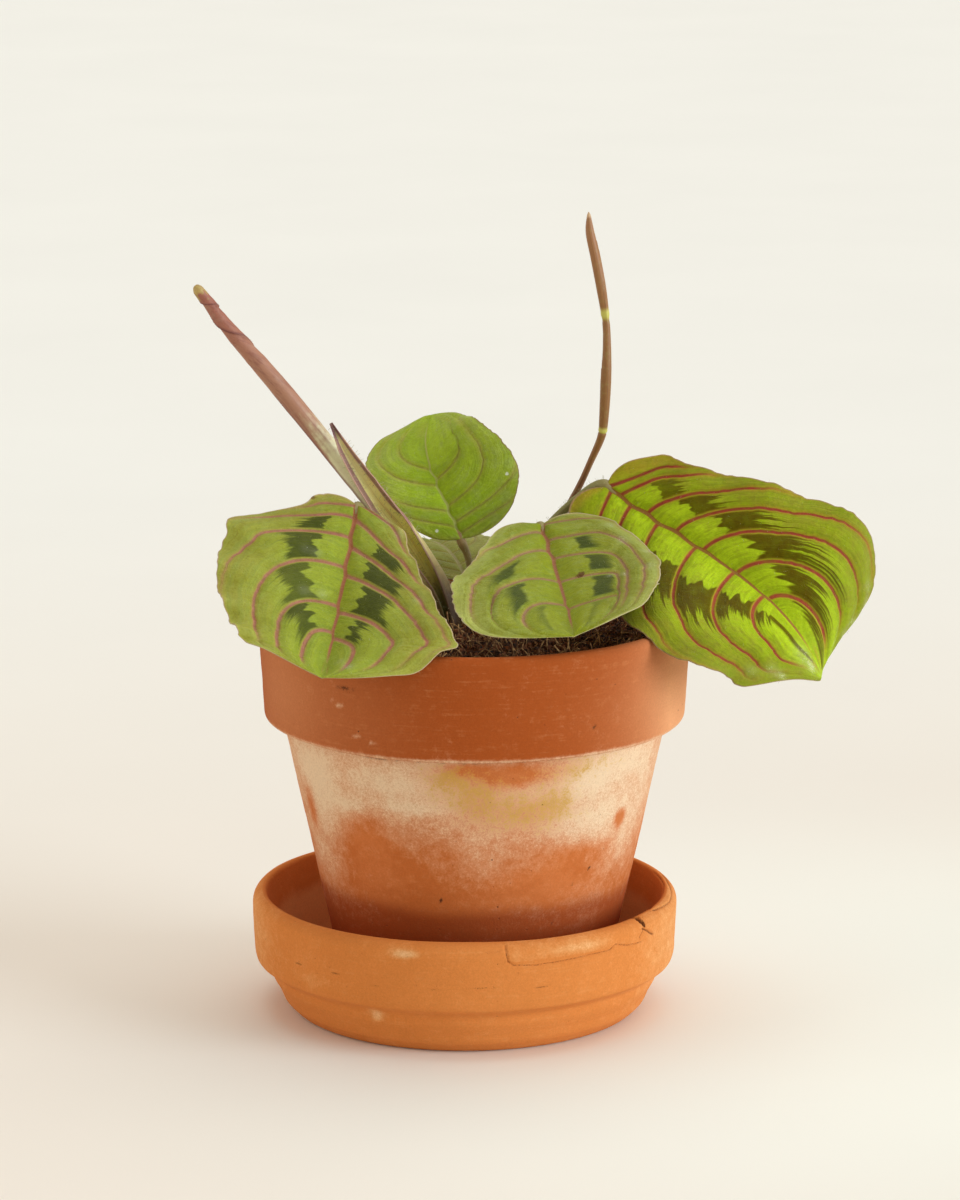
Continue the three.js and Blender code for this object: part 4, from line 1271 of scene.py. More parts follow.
        # Midrib and margin
        rib_reach = (1.2 - s * 0.7) * self.rib_width
        fading = 1 - r.rise(s, self.rib_fade, self.rib_fade + 0.15)
        core = (1 - r.rise(rib, rib_reach * 0.6, rib_reach * 1.2)) * fading
        body = r.mix(core, body, self.rib)
        side_line = r.rise(rib, rib_reach * 0.8, rib_reach)
        side_line = side_line * (1 - r.rise(rib, rib_reach * 1.2, rib_reach * 1.7))
        body = r.mix(side_line * fading * self.rib_lines, body, self.vein)
        thin_rim = 1 - r.rise(rim + (streak - 0.5) * 0.4, 0.1, 0.45)
        body = r.mix(thin_rim * 0.85, body, self.rim)
        # Painted shade: the outer part of the blade darkens towards the tip.
        body = r.shaded(body, 1.0 - r.rise(s, 0.5, 0.85) * r.rise(across, 0.1, 0.6) * self.tip_shade)
        # Scuffs and painted sheen: a soft pale painted sheen round each pale scuff, crisp pale specks and
        # brown spots
        body = r.mix(r.rise(wear_and_sheen, 0.08, 0.8) * 0.22, body, self.lint_and_sheen)
        body = r.mix(r.rise(wear_and_sheen + (grain - 0.5) * 1.7, 0.55, 0.75) * 0.8, body, self.lint_and_sheen)
        body = r.mix(r.rise((grain - 0.5) * 2.4 - wear_and_sheen, 0.5, 0.7) * 0.9, body, self.rot)
        # Underside
        back = r.mix(r.rise(tangle, 0.3, 0.7) * 0.3 + 0.3, self.under, self.far)
        back = r.mix(r.clamped(dark) * 0.35, back, self.under)
        back = r.mix(r.clamped(line + core) * 0.6, back, self.rim)
        body = r.mix(upper, back, body)
        height = ((fine_streak - 0.5) * 0.22 + (streak - 0.5) * 0.25) * calm
        height = height + (grain - 0.5) * 0.1 - line * 0.1 + (fleck - 0.5) * 0.3
        rough = (mottle - 0.5) * 0.12 + dusty * 0.1 * self.bloom + self.roughness
        r.set_gloss(self.gloss)
        r.shader.inputs["Specular Tint"].default_value = paint(self.sheen)
        r.let_light_in(self.flesh, 0.25)
        return r.finish(body, rough, height)


@dataclass(frozen=True)
class Down:
    """The fine pale hairs that stand on a leaf, a stalk or the sheath."""

    per_square_mm: float
    shortest: float
    longest: float
    seed: int
    colour: str = "#c4c294"
    root_colour: str = "#8c8c4c"

    def material(self) -> bpy.types.Material:
        """Build the hairs' finish: pale, with darker ones among them."""
        r = Recipe("down")
        shade = r.noise(r.place(), 1.3, 2, 0.6)
        colour = r.mix(r.rise(shade, 0.35, 0.6), self.root_colour, self.colour)
        return r.finish(colour, 0.6 + (shade - 0.5) * 0.1)

    def grow(self, skin: bpy.types.Object, name: str, slot: str) -> bpy.types.Object:
        """Grow the hairs on a piece.

        Args:
            skin: The piece that they stand on.
            name: The name of the new piece.
            slot: Not used.

        Returns:
            The hairs as one piece.
        """
        hairs = Scatter(Grain.HAIR, self.per_square_mm, self.shortest, self.longest, self.seed)
        return hand_over(hairs.strew(skin, name, self.material()))


@dataclass
class Blade:
    """A leaf blade: a midrib curve with two halves that fold, curl and wave."""

    name: str
    slot: str
    midrib: tuple[Point, Point, Point, Point]
    roll: tuple[float, float]
    right: Half
    left: Half
    tip_power: float
    wave_height: float
    wave_count: float
    look: LeafLook
    face_up: Point = (0.0, 0.0, 1.0)
    rows: int = 210
    columns: int = 62
    quilt: float = 0.75
    down: Down = Down(0.08, 0.3, 0.8, 7)

    THICKNESS = 0.5
    RIM_THICKNESS = 0.22
    SWELL_LENGTH = 0.05
    SWAY = 0.45
    SWAY_LENGTH = 0.035
    LOBE_SCALE = 6.75
    # Unevenness of the margin: waves from base to tip, seed of the noise and share of the width
    UNEVEN = ((26, 31, 0.01), (70, 32, 0.009))
    SLOPE_STEP = 0.002
    CLEAR_OF_ENDS = 0.004
    NARROWEST, WIDEST = 1.5, 25.0
    VEIN_GROOVE, VEIN_GROOVE_WIDTH = 0.2, 0.55
    RIB_GROOVE, RIB_GROOVE_WIDTH = 0.3, 0.8
    RIB_RIDGE, RIB_RIDGE_WIDTH = 0.55, 1.1

    def rib_frame(self, s: Array) -> tuple[Array, Array, Array, Array]:
        """Give the midrib's point and its along, side and up directions at places from base to tip."""
        p = np.array(self.midrib, float)
        t = s[..., None]
        a = 1 - t
        point = a**3 * p[0] + 3 * a * a * t * p[1] + 3 * a * t * t * p[2] + t**3 * p[3]
        run = 3 * a * a * (p[1] - p[0]) + 6 * a * t * (p[2] - p[1]) + 3 * t * t * (p[3] - p[2])
        along = unit(run)
        side = unit(np.cross(along, np.array(self.face_up)))
        up = np.cross(side, along)
        angle = np.radians(self.roll[0] + (self.roll[1] - self.roll[0]) * s)[..., None]
        turned = side * np.cos(angle) + up * np.sin(angle)
        return point, along, turned, up * np.cos(angle) - side * np.sin(angle)

    def half_width(self, half: Half, s: Array) -> Array:
        """Give the width of a half along the midrib, with its swells and a slightly uneven margin."""
        width = 2 * np.sqrt(s) * (1 - s) ** self.tip_power * station(half.width, s)
        for where, size in half.swells:
            width = width + size * hump(s - where, self.SWELL_LENGTH) * np.minimum(1, 8 * s)
        for where, size, length in half.nicks:
            width = width + size * hump(s - where, length)
        share = 1.0
        for waves, seed, depth in self.UNEVEN:
            place = np.stack([s * waves, s * 0 + half.phase, s * 0], -1)
            share = share + depth * lattice_noise(place, seed)
        return width * share

    def surface(self, half: Half, hand: int, s: Array, across: Array) -> Array:
        """Place points of one half.

        Args:
            half: The half of the blade.
            hand: 1 for the right half and -1 for the left.
            s: Places along the midrib, from 0 to 1.
            across: Places from the midrib, 0, to the margin, 1.

        Returns:
            Points in mm on the blade's middle surface.
        """
        point, along, side, up = self.rib_frame(s)
        width = self.half_width(half, s)
        fold = np.radians(station(half.fold, s))
        curl = np.radians(station(half.curl, s))
        bend = fold + curl * across
        x = width / curl * (np.sin(bend) - np.sin(fold))
        z = -width / curl * (np.cos(bend) - np.cos(fold))
        ramp = np.minimum(1, 4 * s) * np.minimum(1, 6 * (1 - s))
        z = z + self.wave_height * np.sin(2 * math.pi * self.wave_count * s + half.phase) * across**3 * ramp
        root = np.sqrt(s)
        u = -half.lobe * self.LOBE_SCALE * root * (1 - root) ** 2 * across**2
        return point + side * (hand * x)[..., None] + up * z[..., None] + along * u[..., None]

    def sway(self, s: Array) -> Array:
        """Give how far right of the middle the midrib runs: each side vein pulls it over a little."""
        total = np.zeros_like(s)
        for hand, half in ((1, self.right), (-1, self.left)):
            for start in half.veins.starts:
                total += hand * self.SWAY * hump(s - start, self.SWAY_LENGTH)
        return total

    def slopes(
        self, read: Callable[[Array, Array], Array], s: Array, across: Array
    ) -> tuple[Array, Array]:
        """Give how fast a reading of a half changes along the midrib, and how fast across it."""
        step = self.SLOPE_STEP
        along = (read(s + step, across) - read(s - step, across)) / (2 * step)
        sideways = (read(s, across + step) - read(s, across - step)) / (2 * step)
        return along, sideways

    def relief(self, grid: dict[str, Array]) -> Array:
        """Raise pillows between the veins of a half and sink grooves along them and the midrib."""
        across, number, spacing = grid["across"], grid["number"], grid["spacing"]
        off = np.abs(number - np.round(number)) * spacing
        swell = np.sin(math.pi * np.clip(number % 1, 0, 1)) ** 0.8 * np.clip(spacing / 9, 0, 1)
        relief = self.quilt * swell * fade(0.02, 0.2, across) * fade(1.0, 0.8, across)
        uneven = 0.5 * lattice_noise(grid["points"] / 11, 71)
        relief = relief + uneven * fade(0.0, 0.3, across) * fade(1.02, 0.9, across)
        relief = relief - self.VEIN_GROOVE * hump(off, self.VEIN_GROOVE_WIDTH) * fade(1.0, 0.75, across)
        groove = self.RIB_GROOVE * hump(grid["rib"], self.RIB_GROOVE_WIDTH)
        return relief - groove * fade(0.99, 0.85, grid["s"])

    def half_grid(self, half: Half, hand: int) -> dict[str, Array]:
        """Work out one half of the blade.

        Args:
            half: The half.
            hand: 1 for the right half and -1 for the left.

        Returns:
            Points, normals, relief and painted values, by place along and place across.
        """
        even = (1 - np.cos(np.linspace(0, math.pi, self.rows))) / 2
        s_line = 0.5 * even + 0.5 * np.linspace(0, 1, self.rows) ** 1.4
        s, across = np.meshgrid(s_line, np.linspace(0, 1, self.columns) ** 0.92, indexing="ij")
        surface = partial(self.surface, half, hand)
        points = surface(s, across)
        s_mid = np.clip(s, self.CLEAR_OF_ENDS, 1 - self.CLEAR_OF_ENDS)
        t_mid = np.clip(across, self.SLOPE_STEP, 1 - self.SLOPE_STEP)
        ds, dt = self.slopes(surface, s_mid, t_mid)
        q_s, q_t = self.slopes(half.veins.number, s_mid, t_mid)
        e, f, g = ((a * b).sum(-1) for a, b in ((ds, ds), (ds, dt), (dt, dt)))
        slope = np.sqrt(np.maximum((g * q_s**2 - 2 * f * q_s * q_t + e * q_t**2) / (e * g - f * f), 1e-8))
        last = len(half.veins.starts) - 1 + Veins.BEYOND
        number = np.clip(half.veins.number(s_mid, t_mid), -Veins.BEYOND, last)
        from_rib = across * np.linalg.norm(points - points[:, :1], axis=-1).max(1, keepdims=True)
        # Scuff strengths, with painted sheen where a broad pale scuff stands for it.
        wear_and_sheen = np.zeros_like(s)
        for along, sideways, size, strength in half.scuffs:
            centre = surface(np.array([[along]]), np.array([[sideways]]))
            wear_and_sheen = wear_and_sheen + strength * np.exp(-(((points - centre) ** 2).sum(-1)) / size**2)
        grid = {
            "points": points, "normals": unit(np.cross(dt, ds) * hand), "s": s, "across": across,
            "rib": np.abs(from_rib - hand * self.sway(s)),
            "rim": (1 - across) * self.half_width(half, s) + 2.0 * (s < 1e-6),
            "number": number, "spacing": np.clip(1 / slope, self.NARROWEST, self.WIDEST),
            "blotch": half.blotch(number), "run": half.veins.run(s_mid, t_mid), "wear_and_sheen": wear_and_sheen,
        }
        grid["relief"] = self.relief(grid)
        return grid

    def faces(self, rows: int, wide: int) -> list[Array]:
        """Index the quads and then the triangles of both faces and of the margin between them."""
        columns = np.array([j for j in range(wide - 1) if j != self.columns - 1])
        i, j = np.meshgrid(np.arange(1, rows - 2), columns, indexing="ij")
        up, low = np.arange(2 * rows * wide).reshape(2, rows, wide)
        k, edge = np.arange(rows - 1), wide - 1
        c, tip = columns, rows - 2
        quads = (
            (up[i, j], up[i, j + 1], up[i + 1, j + 1], up[i + 1, j]),
            (low[i, j], low[i + 1, j], low[i + 1, j + 1], low[i, j + 1]),
            (up[k, 0], up[k + 1, 0], low[k + 1, 0], low[k, 0]),
            (up[k + 1, edge], up[k, edge], low[k, edge], low[k + 1, edge]),
        )
        fans = (
            (up[0, c], up[1, c + 1], up[1, c]),
            (low[0, c], low[1, c], low[1, c + 1]),
            (up[tip, c], up[tip, c + 1], up[tip + 1, c]),
            (low[tip, c], low[tip + 1, c], low[tip, c + 1]),
        )
        return [
            np.concatenate([np.stack(group, -1).reshape(-1, len(group)) for group in groups])
            for groups in (quads, fans)
        ]

    def skin(self) -> Skin:
        """Join both halves, upper and lower face, into one closed skin."""
        right = self.half_grid(self.right, 1)
        left = self.half_grid(self.left, -1)
        both = {key: np.concatenate([left[key][:, ::-1], right[key]], axis=1) for key in right}
        middle = self.columns
        s, normals, relief = both["s"], both["normals"], both["relief"]
        seam = (normals[:, middle - 1] + normals[:, middle]) / 2
        normals[:, middle - 1] = normals[:, middle] = unit(seam)
        relief[:, middle] = relief[:, middle - 1]
        ends = fade(0, 0.02, s) * fade(1, 0.985, s)
        thick = self.RIM_THICKNESS + (self.THICKNESS - self.RIM_THICKNESS) * fade(0, 2.5, both["rim"])
        ridge = self.RIB_RIDGE * hump(both["rib"], self.RIB_RIDGE_WIDTH) * fade(1.0, 0.6, s) * ends
        upper = both["points"] + normals * (relief * ends + thick / 2)[..., None]
        lower = both["points"] + normals * (relief * ends - thick / 2 - ridge)[..., None]
        rows, wide = s.shape
        welded = np.arange(2 * rows * wide).reshape(2, rows, wide)
        welded[:, :, middle] = welded[:, :, middle - 1]
        welded[:, 0, :] = welded[:, 0, :1]
        welded[:, -1, :] = welded[:, -1, :1]
        used, compact = np.unique(welded, return_inverse=True)
        edge = np.stack([both["rib"], both["rim"], np.ones_like(s)], -1)
        vein = np.stack([both["number"], both["across"], both["spacing"]], -1)
        leaf = np.stack([s, both["run"], both["wear_and_sheen"]], -1)
        below = np.array([1, 1, 0])
        values = {
            "veins": np.stack([vein, vein]),
            "edges": np.stack([edge, edge * below]),
            "blotch": np.stack([both["blotch"], both["blotch"] * below]),
            "leaf": np.stack([leaf, leaf]),
        }
        faces = self.faces(rows, wide)
        order = np.concatenate([group.ravel() for group in faces])
        corners = {key: v.reshape(-1, 3)[order] for key, v in values.items()}
        points = np.stack([upper, lower]).reshape(-1, 3)[used]
        return Skin(points, [compact.ravel()[group] for group in faces], {}, corners)

    def build(self) -> list[bpy.types.Object]:
        """Make the blade, dress it and grow its hairs."""
        piece = self.skin().to_object(f"{self.name}_blade", self.look.material())
        hand_over(piece, self.name)
        return [piece, self.down.grow(piece, f"{self.name}_down", self.slot)]


@dataclass(frozen=True)
class StemLook:
    """The colours of a stem: foot, middle and head, with lengthwise lines and a mottle."""

    name: str
    foot: str
    middle: str
    head: str
    line: str
    line_strength: float = 0.4
    bloom: str = "#b9a98c"
    bloom_strength: float = 0.15
    roughness: float = 0.45
    middle_at: float = 0.5
    streaks: float = 6.0

    def tissue(self, r: Recipe) -> tuple[bpy.types.NodeSocket, Expr]:
        """Build the stem's colour and relief in a recipe that is then finished by the caller."""
        place = r.place()
        along, round_x, round_y = r.parts(r.attribute("stem"))
        mottle = r.noise(place, 0.6, 3, 0.6)
        grain = r.noise(place, 3.5, 2, 0.6)
        fine = r.noise(r.vector(round_x * self.streaks, round_y * self.streaks, along * 3), 1.0, 3, 0.65)
        shift = along + (mottle - 0.5) * 0.12
        colour = r.mix(r.rise(shift, 0.0, self.middle_at), self.foot, self.middle)
        colour = r.mix(r.rise(shift, self.middle_at, 1.0), colour, self.head)
        colour = r.mix(r.rise(fine, 0.5, 0.68) * self.line_strength, colour, self.line)
        colour = r.mix(r.rise(mottle, 0.5, 0.75) * self.bloom_strength, colour, self.bloom)
        colour = r.shaded(colour, (grain - 0.5) * 0.25 + 1.0)
        return colour, (fine - 0.5) * 0.12 + (grain - 0.5) * 0.04

    def material(self) -> bpy.types.Material:
        """Build the plain stem."""
        r = Recipe(self.name)
        colour, height = self.tissue(r)
        return r.finish(colour, self.roughness, height)


def stem_values(rows: int, around: int) -> Array:
    """Paint a stem with its place along and round, for streaks that follow it."""
    along, angle = np.meshgrid(np.linspace(0, 1, rows), full_turn(around), indexing="ij")
    return np.stack([along, np.cos(angle), np.sin(angle)], -1)


@dataclass
class Stalk:
    """A leaf stalk from the crown to the base of its blade."""

    name: str
    blade: Blade
    radius: float
    foot: tuple[float, float]
    bends: tuple[Point, Point]
    look: StemLook
    rows: int = 90
    around: int = 20
    down: Down = Down(0.5, 0.5, 1.3, 17)

    SOIL_FOOT = 110.0
    SOIL_TOP = 117.9
    JOIN_REACH = 0.035
    ALONG_RIB = 0.11
    SEAT_DEPTHS = (1.0, 0.85, 0.75)
    SETBACK = 2.2

    def build(self) -> list[bpy.types.Object]:
        """Draw the stalk, swell it under the blade, run it into the midrib and grow its hairs."""
        seat = np.array([0.012, self.JOIN_REACH, self.ALONG_RIB])
        point, along, _, up = self.blade.rib_frame(seat)
        ends = point - up * (np.array(self.SEAT_DEPTHS) * self.radius)[:, None]
        ends[0] -= along[0] * self.SETBACK
        line = ((*self.foot, self.SOIL_FOOT), (*self.foot, self.SOIL_TOP), *self.bends, *ends.tolist())
        centres = smooth_line(line, self.rows)
        u = np.linspace(0, 1, self.rows)
        radius = self.radius * (1.12 - 0.2 * fade(0, 0.3, u) + 0.28 * hump(u - 0.68, 0.11))
        radius = (radius * (1 - 0.88 * fade(0.8, 1.0, u)))[:, None]
        angle = full_turn(self.around)
        uneven = 0.05 * lattice_noise(sweep(centres, angle, radius) / 1.6, 41)
        values = {"stem": stem_values(self.rows, self.around)}
        skin = capped_rings(sweep(centres, angle, radius + uneven), values)
        piece = hand_over(skin.to_object(f"{self.name}_stem", self.look.material()), self.name)
        return [piece, self.down.grow(piece, f"{self.name}_down", "stalk")]


@dataclass
class RolledLeaf:
    """The young leaf, still rolled: a long scroll whose margin winds up it."""

    line: tuple[Point, ...] = (
        (-5.2, 9.6, 109.3), (-5.6, 9.4, 118), (-10.4, 8.6, 129.2), (-17.9, 8, 140.2), (-28.2, 8, 154),
        (-42.6, 8, 172.7), (-60.1, 8, 194.4), (-69.9, 8, 205.5), (-80.0, 8, 219.0),
    )
    radii: tuple[float, ...] = (2.8, 2.9, 2.9, 2.9, 2.9, 2.95, 2.9, 2.4, 1.75)
    lap: float = 0.45
    seam: tuple[tuple[float, float], ...] = (
        (0, -70), (0.45, -40), (0.7, -10), (0.83, 180), (0.912, 360), (0.935, 540), (0.965, 720), (1, 800),
    )
    rows: int = 520
    around: int = 64

    def material(self) -> bpy.types.Material:
        """Build the scroll: red-brown above, cream-green low down and reaching higher away from the left side
        as painted light, dark along the wrapped margin.
        """
        r = Recipe("rolled_leaf")
        place = r.place()
        along, lap, side = r.parts(r.attribute("scroll"))
        mottle = r.noise(place, 0.35, 3, 0.6)
        lengthwise = r.vector(lap * 9, side * 2, along * 7)
        fine = r.noise(lengthwise, 1.0, 3, 0.65)
        grain = r.noise(place, 3.5, 2, 0.6)
        shift = along + (mottle - 0.5) * 0.08 + (fine - 0.5) * 0.06
        # Painted light: away from the left side the cream reaches higher before the brown.
        lit = r.rise(side, 0.95, 0.35)
        colour = r.mix(r.rise(shift, 0.15, 0.4), "#b2b468", "#dedaae")
        brown = r.rise(shift - lit * 0.07, 0.525, 0.605)
        colour = r.mix(brown, colour, "#a8765a")
        colour = r.mix(r.rise(shift, 0.7, 0.95), colour, "#9b5d48")
        colour = r.mix(r.rise(shift, 0.965, 0.985) * 0.85, colour, "#bba558")
        colour = r.mix(r.rise(fine, 0.47, 0.66) * (brown * 0.33 + 0.12), colour, "#7d4639")
        colour = r.mix(r.rise(mottle, 0.48, 0.7) * 0.25, colour, "#b08e74")
        margin = 1 - r.rise(lap, 0.0, 0.07)
        colour = r.mix(margin * 0.75, colour, "#6b332d")
        colour = r.shaded(colour, (grain - 0.5) * 0.2 + 1.0)
        return r.finish(colour, 0.5 - (mottle - 0.5) * 0.15, (fine - 0.5) * 0.1 + (grain - 0.5) * 0.04)

    TURN_SHARE = 0.985
    PAST_MARGIN = 1.02
    TIP_SHARE = 0.012

    def build(self) -> list[bpy.types.Object]:
        """Wind the scroll and dress it."""
        centres = smooth_line(self.line, self.rows)
        u = np.linspace(0, 1, self.rows)
        lap = np.append(np.linspace(0, 1, self.around - 1), self.PAST_MARGIN)
        level, turn = np.meshgrid(u, np.minimum(lap, 1.0), indexing="ij")
        places, turns = zip(*self.seam)
        angle = np.radians(np.interp(u, places, turns))[:, None] + 2 * math.pi * lap * self.TURN_SHARE
        radius = station(self.radii, u)[:, None]
        step = self.lap * np.minimum(1, radius / 2.2) * (0.4 + 0.6 * fade(0.25, 0.5, level))
        margin = 0.06 * hump(1 - turn, 0.03)
        uneven = 0.06 * lattice_noise(np.stack([level * 60, turn * 3, level * 0], -1), 51)
        tip = np.sqrt(np.clip((1 - level) / self.TIP_SHARE, 0, 1))
        reach = (radius - step * (1 - turn) + margin + uneven) * (0.3 + 0.7 * tip)
        values = {"scroll": np.stack([level, 1 - turn, np.cos(angle)], -1)}
        skin = capped_rings(sweep(centres, angle, reach), values)
        piece = skin.to_object("rolled_leaf_scroll", self.material())
        return [hand_over(piece, "rolled_leaf")]


@dataclass
class Sheath:
    """The boat-shaped sheath that opens round the foot of the rolled leaf."""

    line: tuple[Point, ...] = (
        (-4.8, 1.6, 109.3), (-5, 1.6, 119), (-8.4, 1.6, 129.5), (-17.8, 1.4, 144.8), (-24.1, 1, 152.8),
        (-29.4, 1, 160.7), (-35.3, 2, 169.8), (-39.8, 2.6, 178.4),
    )
    radii: tuple[float, ...] = (3.5, 3.6, 3.7, 3.6, 3.5, 3, 2, 0.5)
    openings: tuple[float, ...] = (24, 24, 40, 110, 150, 160, 170, 180)
    wall: float = 0.7
    tip_wall: float = 0.55
    rows: int = 220
    steps: int = 44
    down: Down = Down(0.5, 0.5, 1.5, 29)

    def material(self) -> bpy.types.Material:
        """Build the sheath: yellow-green inside, purple margins, dark purple foot."""
        r = Recipe("sheath_skin")
        place = r.place()
        along, across, inside = r.parts(r.attribute("sheath"))
        mottle = r.noise(place, 0.4, 3, 0.6)
        grain = r.noise(place, 3.5, 2, 0.6)
        fine = r.noise(r.vector(across * 13, along * 3, inside), 1.0, 3, 0.7)
        rise = along + (mottle - 0.5) * 0.05
        colour = r.mix(r.rise(rise, 0.14, 0.3), "#e2dc78", "#fff89c")
        colour = r.mix(r.rise(rise, 0.55, 0.85), colour, "#e8e0a0")
        colour = r.mix(r.rise(fine, 0.5, 0.62) * 0.4, colour, "#a87844")
        outside = r.mix(r.rise(rise, 0.2, 0.36), "#8a6c40", "#d2c284")
        outside = r.mix(r.rise(fine, 0.45, 0.65) * 0.5, outside, "#a98c5c")
        colour = r.mix(inside, outside, colour)
        from_middle = r.maths("ABSOLUTE", across)
        open_part = r.rise(rise, 0.4, 0.55)
        band_start = 0.9 - open_part * 0.5 - r.rise(across, -0.2, 0.2) * open_part * 0.1
        band = r.rise(from_middle + (fine - 0.5) * 0.25, band_start, band_start + 0.14)
        colour = r.mix(band * r.rise(rise, 0.2, 0.3) * 0.85, colour, "#8f5864")
        edge = r.rise(from_middle, 0.955, 0.99) * r.rise(rise, 0.25, 0.35)
        colour = r.mix(edge * 0.7, colour, "#c9a58c")
        foot = 1 - r.rise(rise + (fine - 0.5) * 0.1, 0.2, 0.37)
        colour = r.mix(foot * 0.68, colour, "#5f552c")
        purple = foot * r.rise(across, -0.2, 0.9)
        colour = r.mix(purple * 0.5, colour, "#5c3434")
        tip = r.rise(along, 0.9, 0.97)
        colour = r.mix(tip * 0.85, colour, "#6a4048")
        colour = r.shaded(colour, (grain - 0.5) * 0.2 + (fine - 0.5) * 0.4 + 1.0)
        r.set_gloss(0.3)
        r.let_light_in((1.2, 0.9, 0.4), 0.3)
        return r.finish(colour, 0.5 + (mottle - 0.5) * 0.15, (fine - 0.5) * 0.16 + (grain - 0.5) * 0.04)

    def round_trip(self, out: Array, back: Array) -> Array:
        """Go round the outside of each ring and back along the inside."""
        return np.concatenate([out, back[:, ::-1]], axis=1)

    def build(self) -> list[bpy.types.Object]:
        """Bend the sheath round its line, dress it and grow its hairs."""
        u = np.linspace(0, 1, self.rows)
        level, share = np.meshgrid(u, np.linspace(0, 1, self.steps), indexing="ij")
        radius = station(self.radii, u)[:, None]
        wall = np.minimum(self.wall, radius * self.tip_wall)
        opening = np.radians(station(self.openings, u))[:, None]
        angle = -math.pi / 2 + opening / 2 + (2 * math.pi - opening) * share
        thin = 0.35 + 0.65 * np.sin(math.pi * share) ** 0.5
        ripple = 0.12 * lattice_noise(np.stack([level * 24, share * 5, level * 0], -1), 61)
        outer = radius + ripple * np.minimum(1, radius / 2)
        reach = self.round_trip(outer, outer - wall * thin)
        rings = sweep(smooth_line(self.line, self.rows), self.round_trip(angle, angle), reach)
        pairs = ((level, level), (share * 2 - 1, share * 2 - 1), (share * 0, share * 0 + 1))
        values = {"sheath": np.stack([self.round_trip(*pair) for pair in pairs], -1)}
        piece = capped_rings(rings, values).to_object("sheath_boat", self.material())
        hand_over(piece, "sheath")
        return [piece, self.down.grow(piece, "sheath_down", "sheath")]


@dataclass
class FlowerStem:
    """The slim jointed flower stem with its closed tip."""

    line: tuple[Point, ...] = (
        (15, 22, 109.3), (15.5, 22.5, 119), (23, 25, 133), (30.4, 25, 146.9), (34.9, 22, 156),
        (37.8, 18, 163.5), (40.8, 13.5, 171.6), (41.4, 12.5, 174.3), (42, 11, 182.8), (42.3, 10, 192.3),
        (42.4, 10, 201.3), (42.1, 10, 207.6), (40.6, 9, 218), (38.8, 8, 227.5), (37.2, 8, 235.3),
        (36.8, 8, 241.0),
    )
    radii: tuple[float, ...] = (1.2, 1.2, 1.1, 1, 1, 1, 1.2, 1.3, 1.5, 1.55, 1.25, 1.15, 1.45, 1.45, 1.3, 0.4)
    nodes: tuple[float, float] = (0.468, 0.7507)
    rows: int = 300
    around: int = 28
    look: StemLook = StemLook(
        "flower_stem_skin", "#9c6c54", "#8c5e2a", "#9c6a3e", "#643c28", 0.55, "#98904c", 0.3,
        middle_at=0.55, streaks=3.0,
    )

    END_SHARES = (0.85, 0.6, 0.3)

    def material(self) -> bpy.types.Material:
        """Build the stem: purple-brown, warmer above, with yellow-green nodes and a cream tip."""
        r = Recipe(self.look.name)
        colour, height = self.look.tissue(r)
        along = r.parts(r.attribute("stem"))[0]
        for node in self.nodes:
            ring = 1 - r.rise(r.maths("ABSOLUTE", along - node), 0.003, 0.016)
            colour = r.mix(ring * 0.9, colour, "#c9c45c")
        colour = r.mix(r.rise(along, 0.975, 0.99) * 0.85, colour, "#cfae84")
        return r.finish(colour, self.look.roughness, height)

    def build(self) -> list[bpy.types.Object]:
        """Draw the stem with its joints and overlapping bracts, and dress it."""
        u = np.linspace(0, 1, self.rows)
        radius = station(self.radii, u)
        for node in self.nodes:
            radius = radius + 0.1 * hump(u - node, 0.004) - 0.14 * hump(u - node + 0.012, 0.006)
        radius[-len(self.END_SHARES) :] *= np.array(self.END_SHARES)
        angle = full_turn(self.around)
        bract = fade(self.nodes[0], self.nodes[0] + 0.03, u)[:, None]
        fold = 0.16 * bract * (((angle / (2 * math.pi) + u[:, None] * 1.7) % 1) - 0.5)
        rings = sweep(smooth_line(self.line, self.rows), angle, radius[:, None] * (1 + fold))
        skin = capped_rings(rings, {"stem": stem_values(self.rows, self.around)})
        piece = skin.to_object("flower_stem_skin", self.material())
        return [hand_over(piece, "flower_stem")]


@dataclass(frozen=True)
class Lamp:
    """A broad soft lamp, by its bearing from the front and its height in degrees."""

    name: str
    bearing: float
    height: float
    strength: float
    spread: float
    colour: str

    def hang(self) -> None:
        """Put the lamp in the scene."""
        light = bpy.data.lights.new(self.name, "SUN")
        light.energy = self.strength * math.pi
        light.angle = math.radians(self.spread)
        light.color = paint(self.colour)[:3]
        lamp = put(self.name, light)
        lamp.rotation_euler = (math.radians(90 - self.height), 0.0, math.radians(self.bearing))


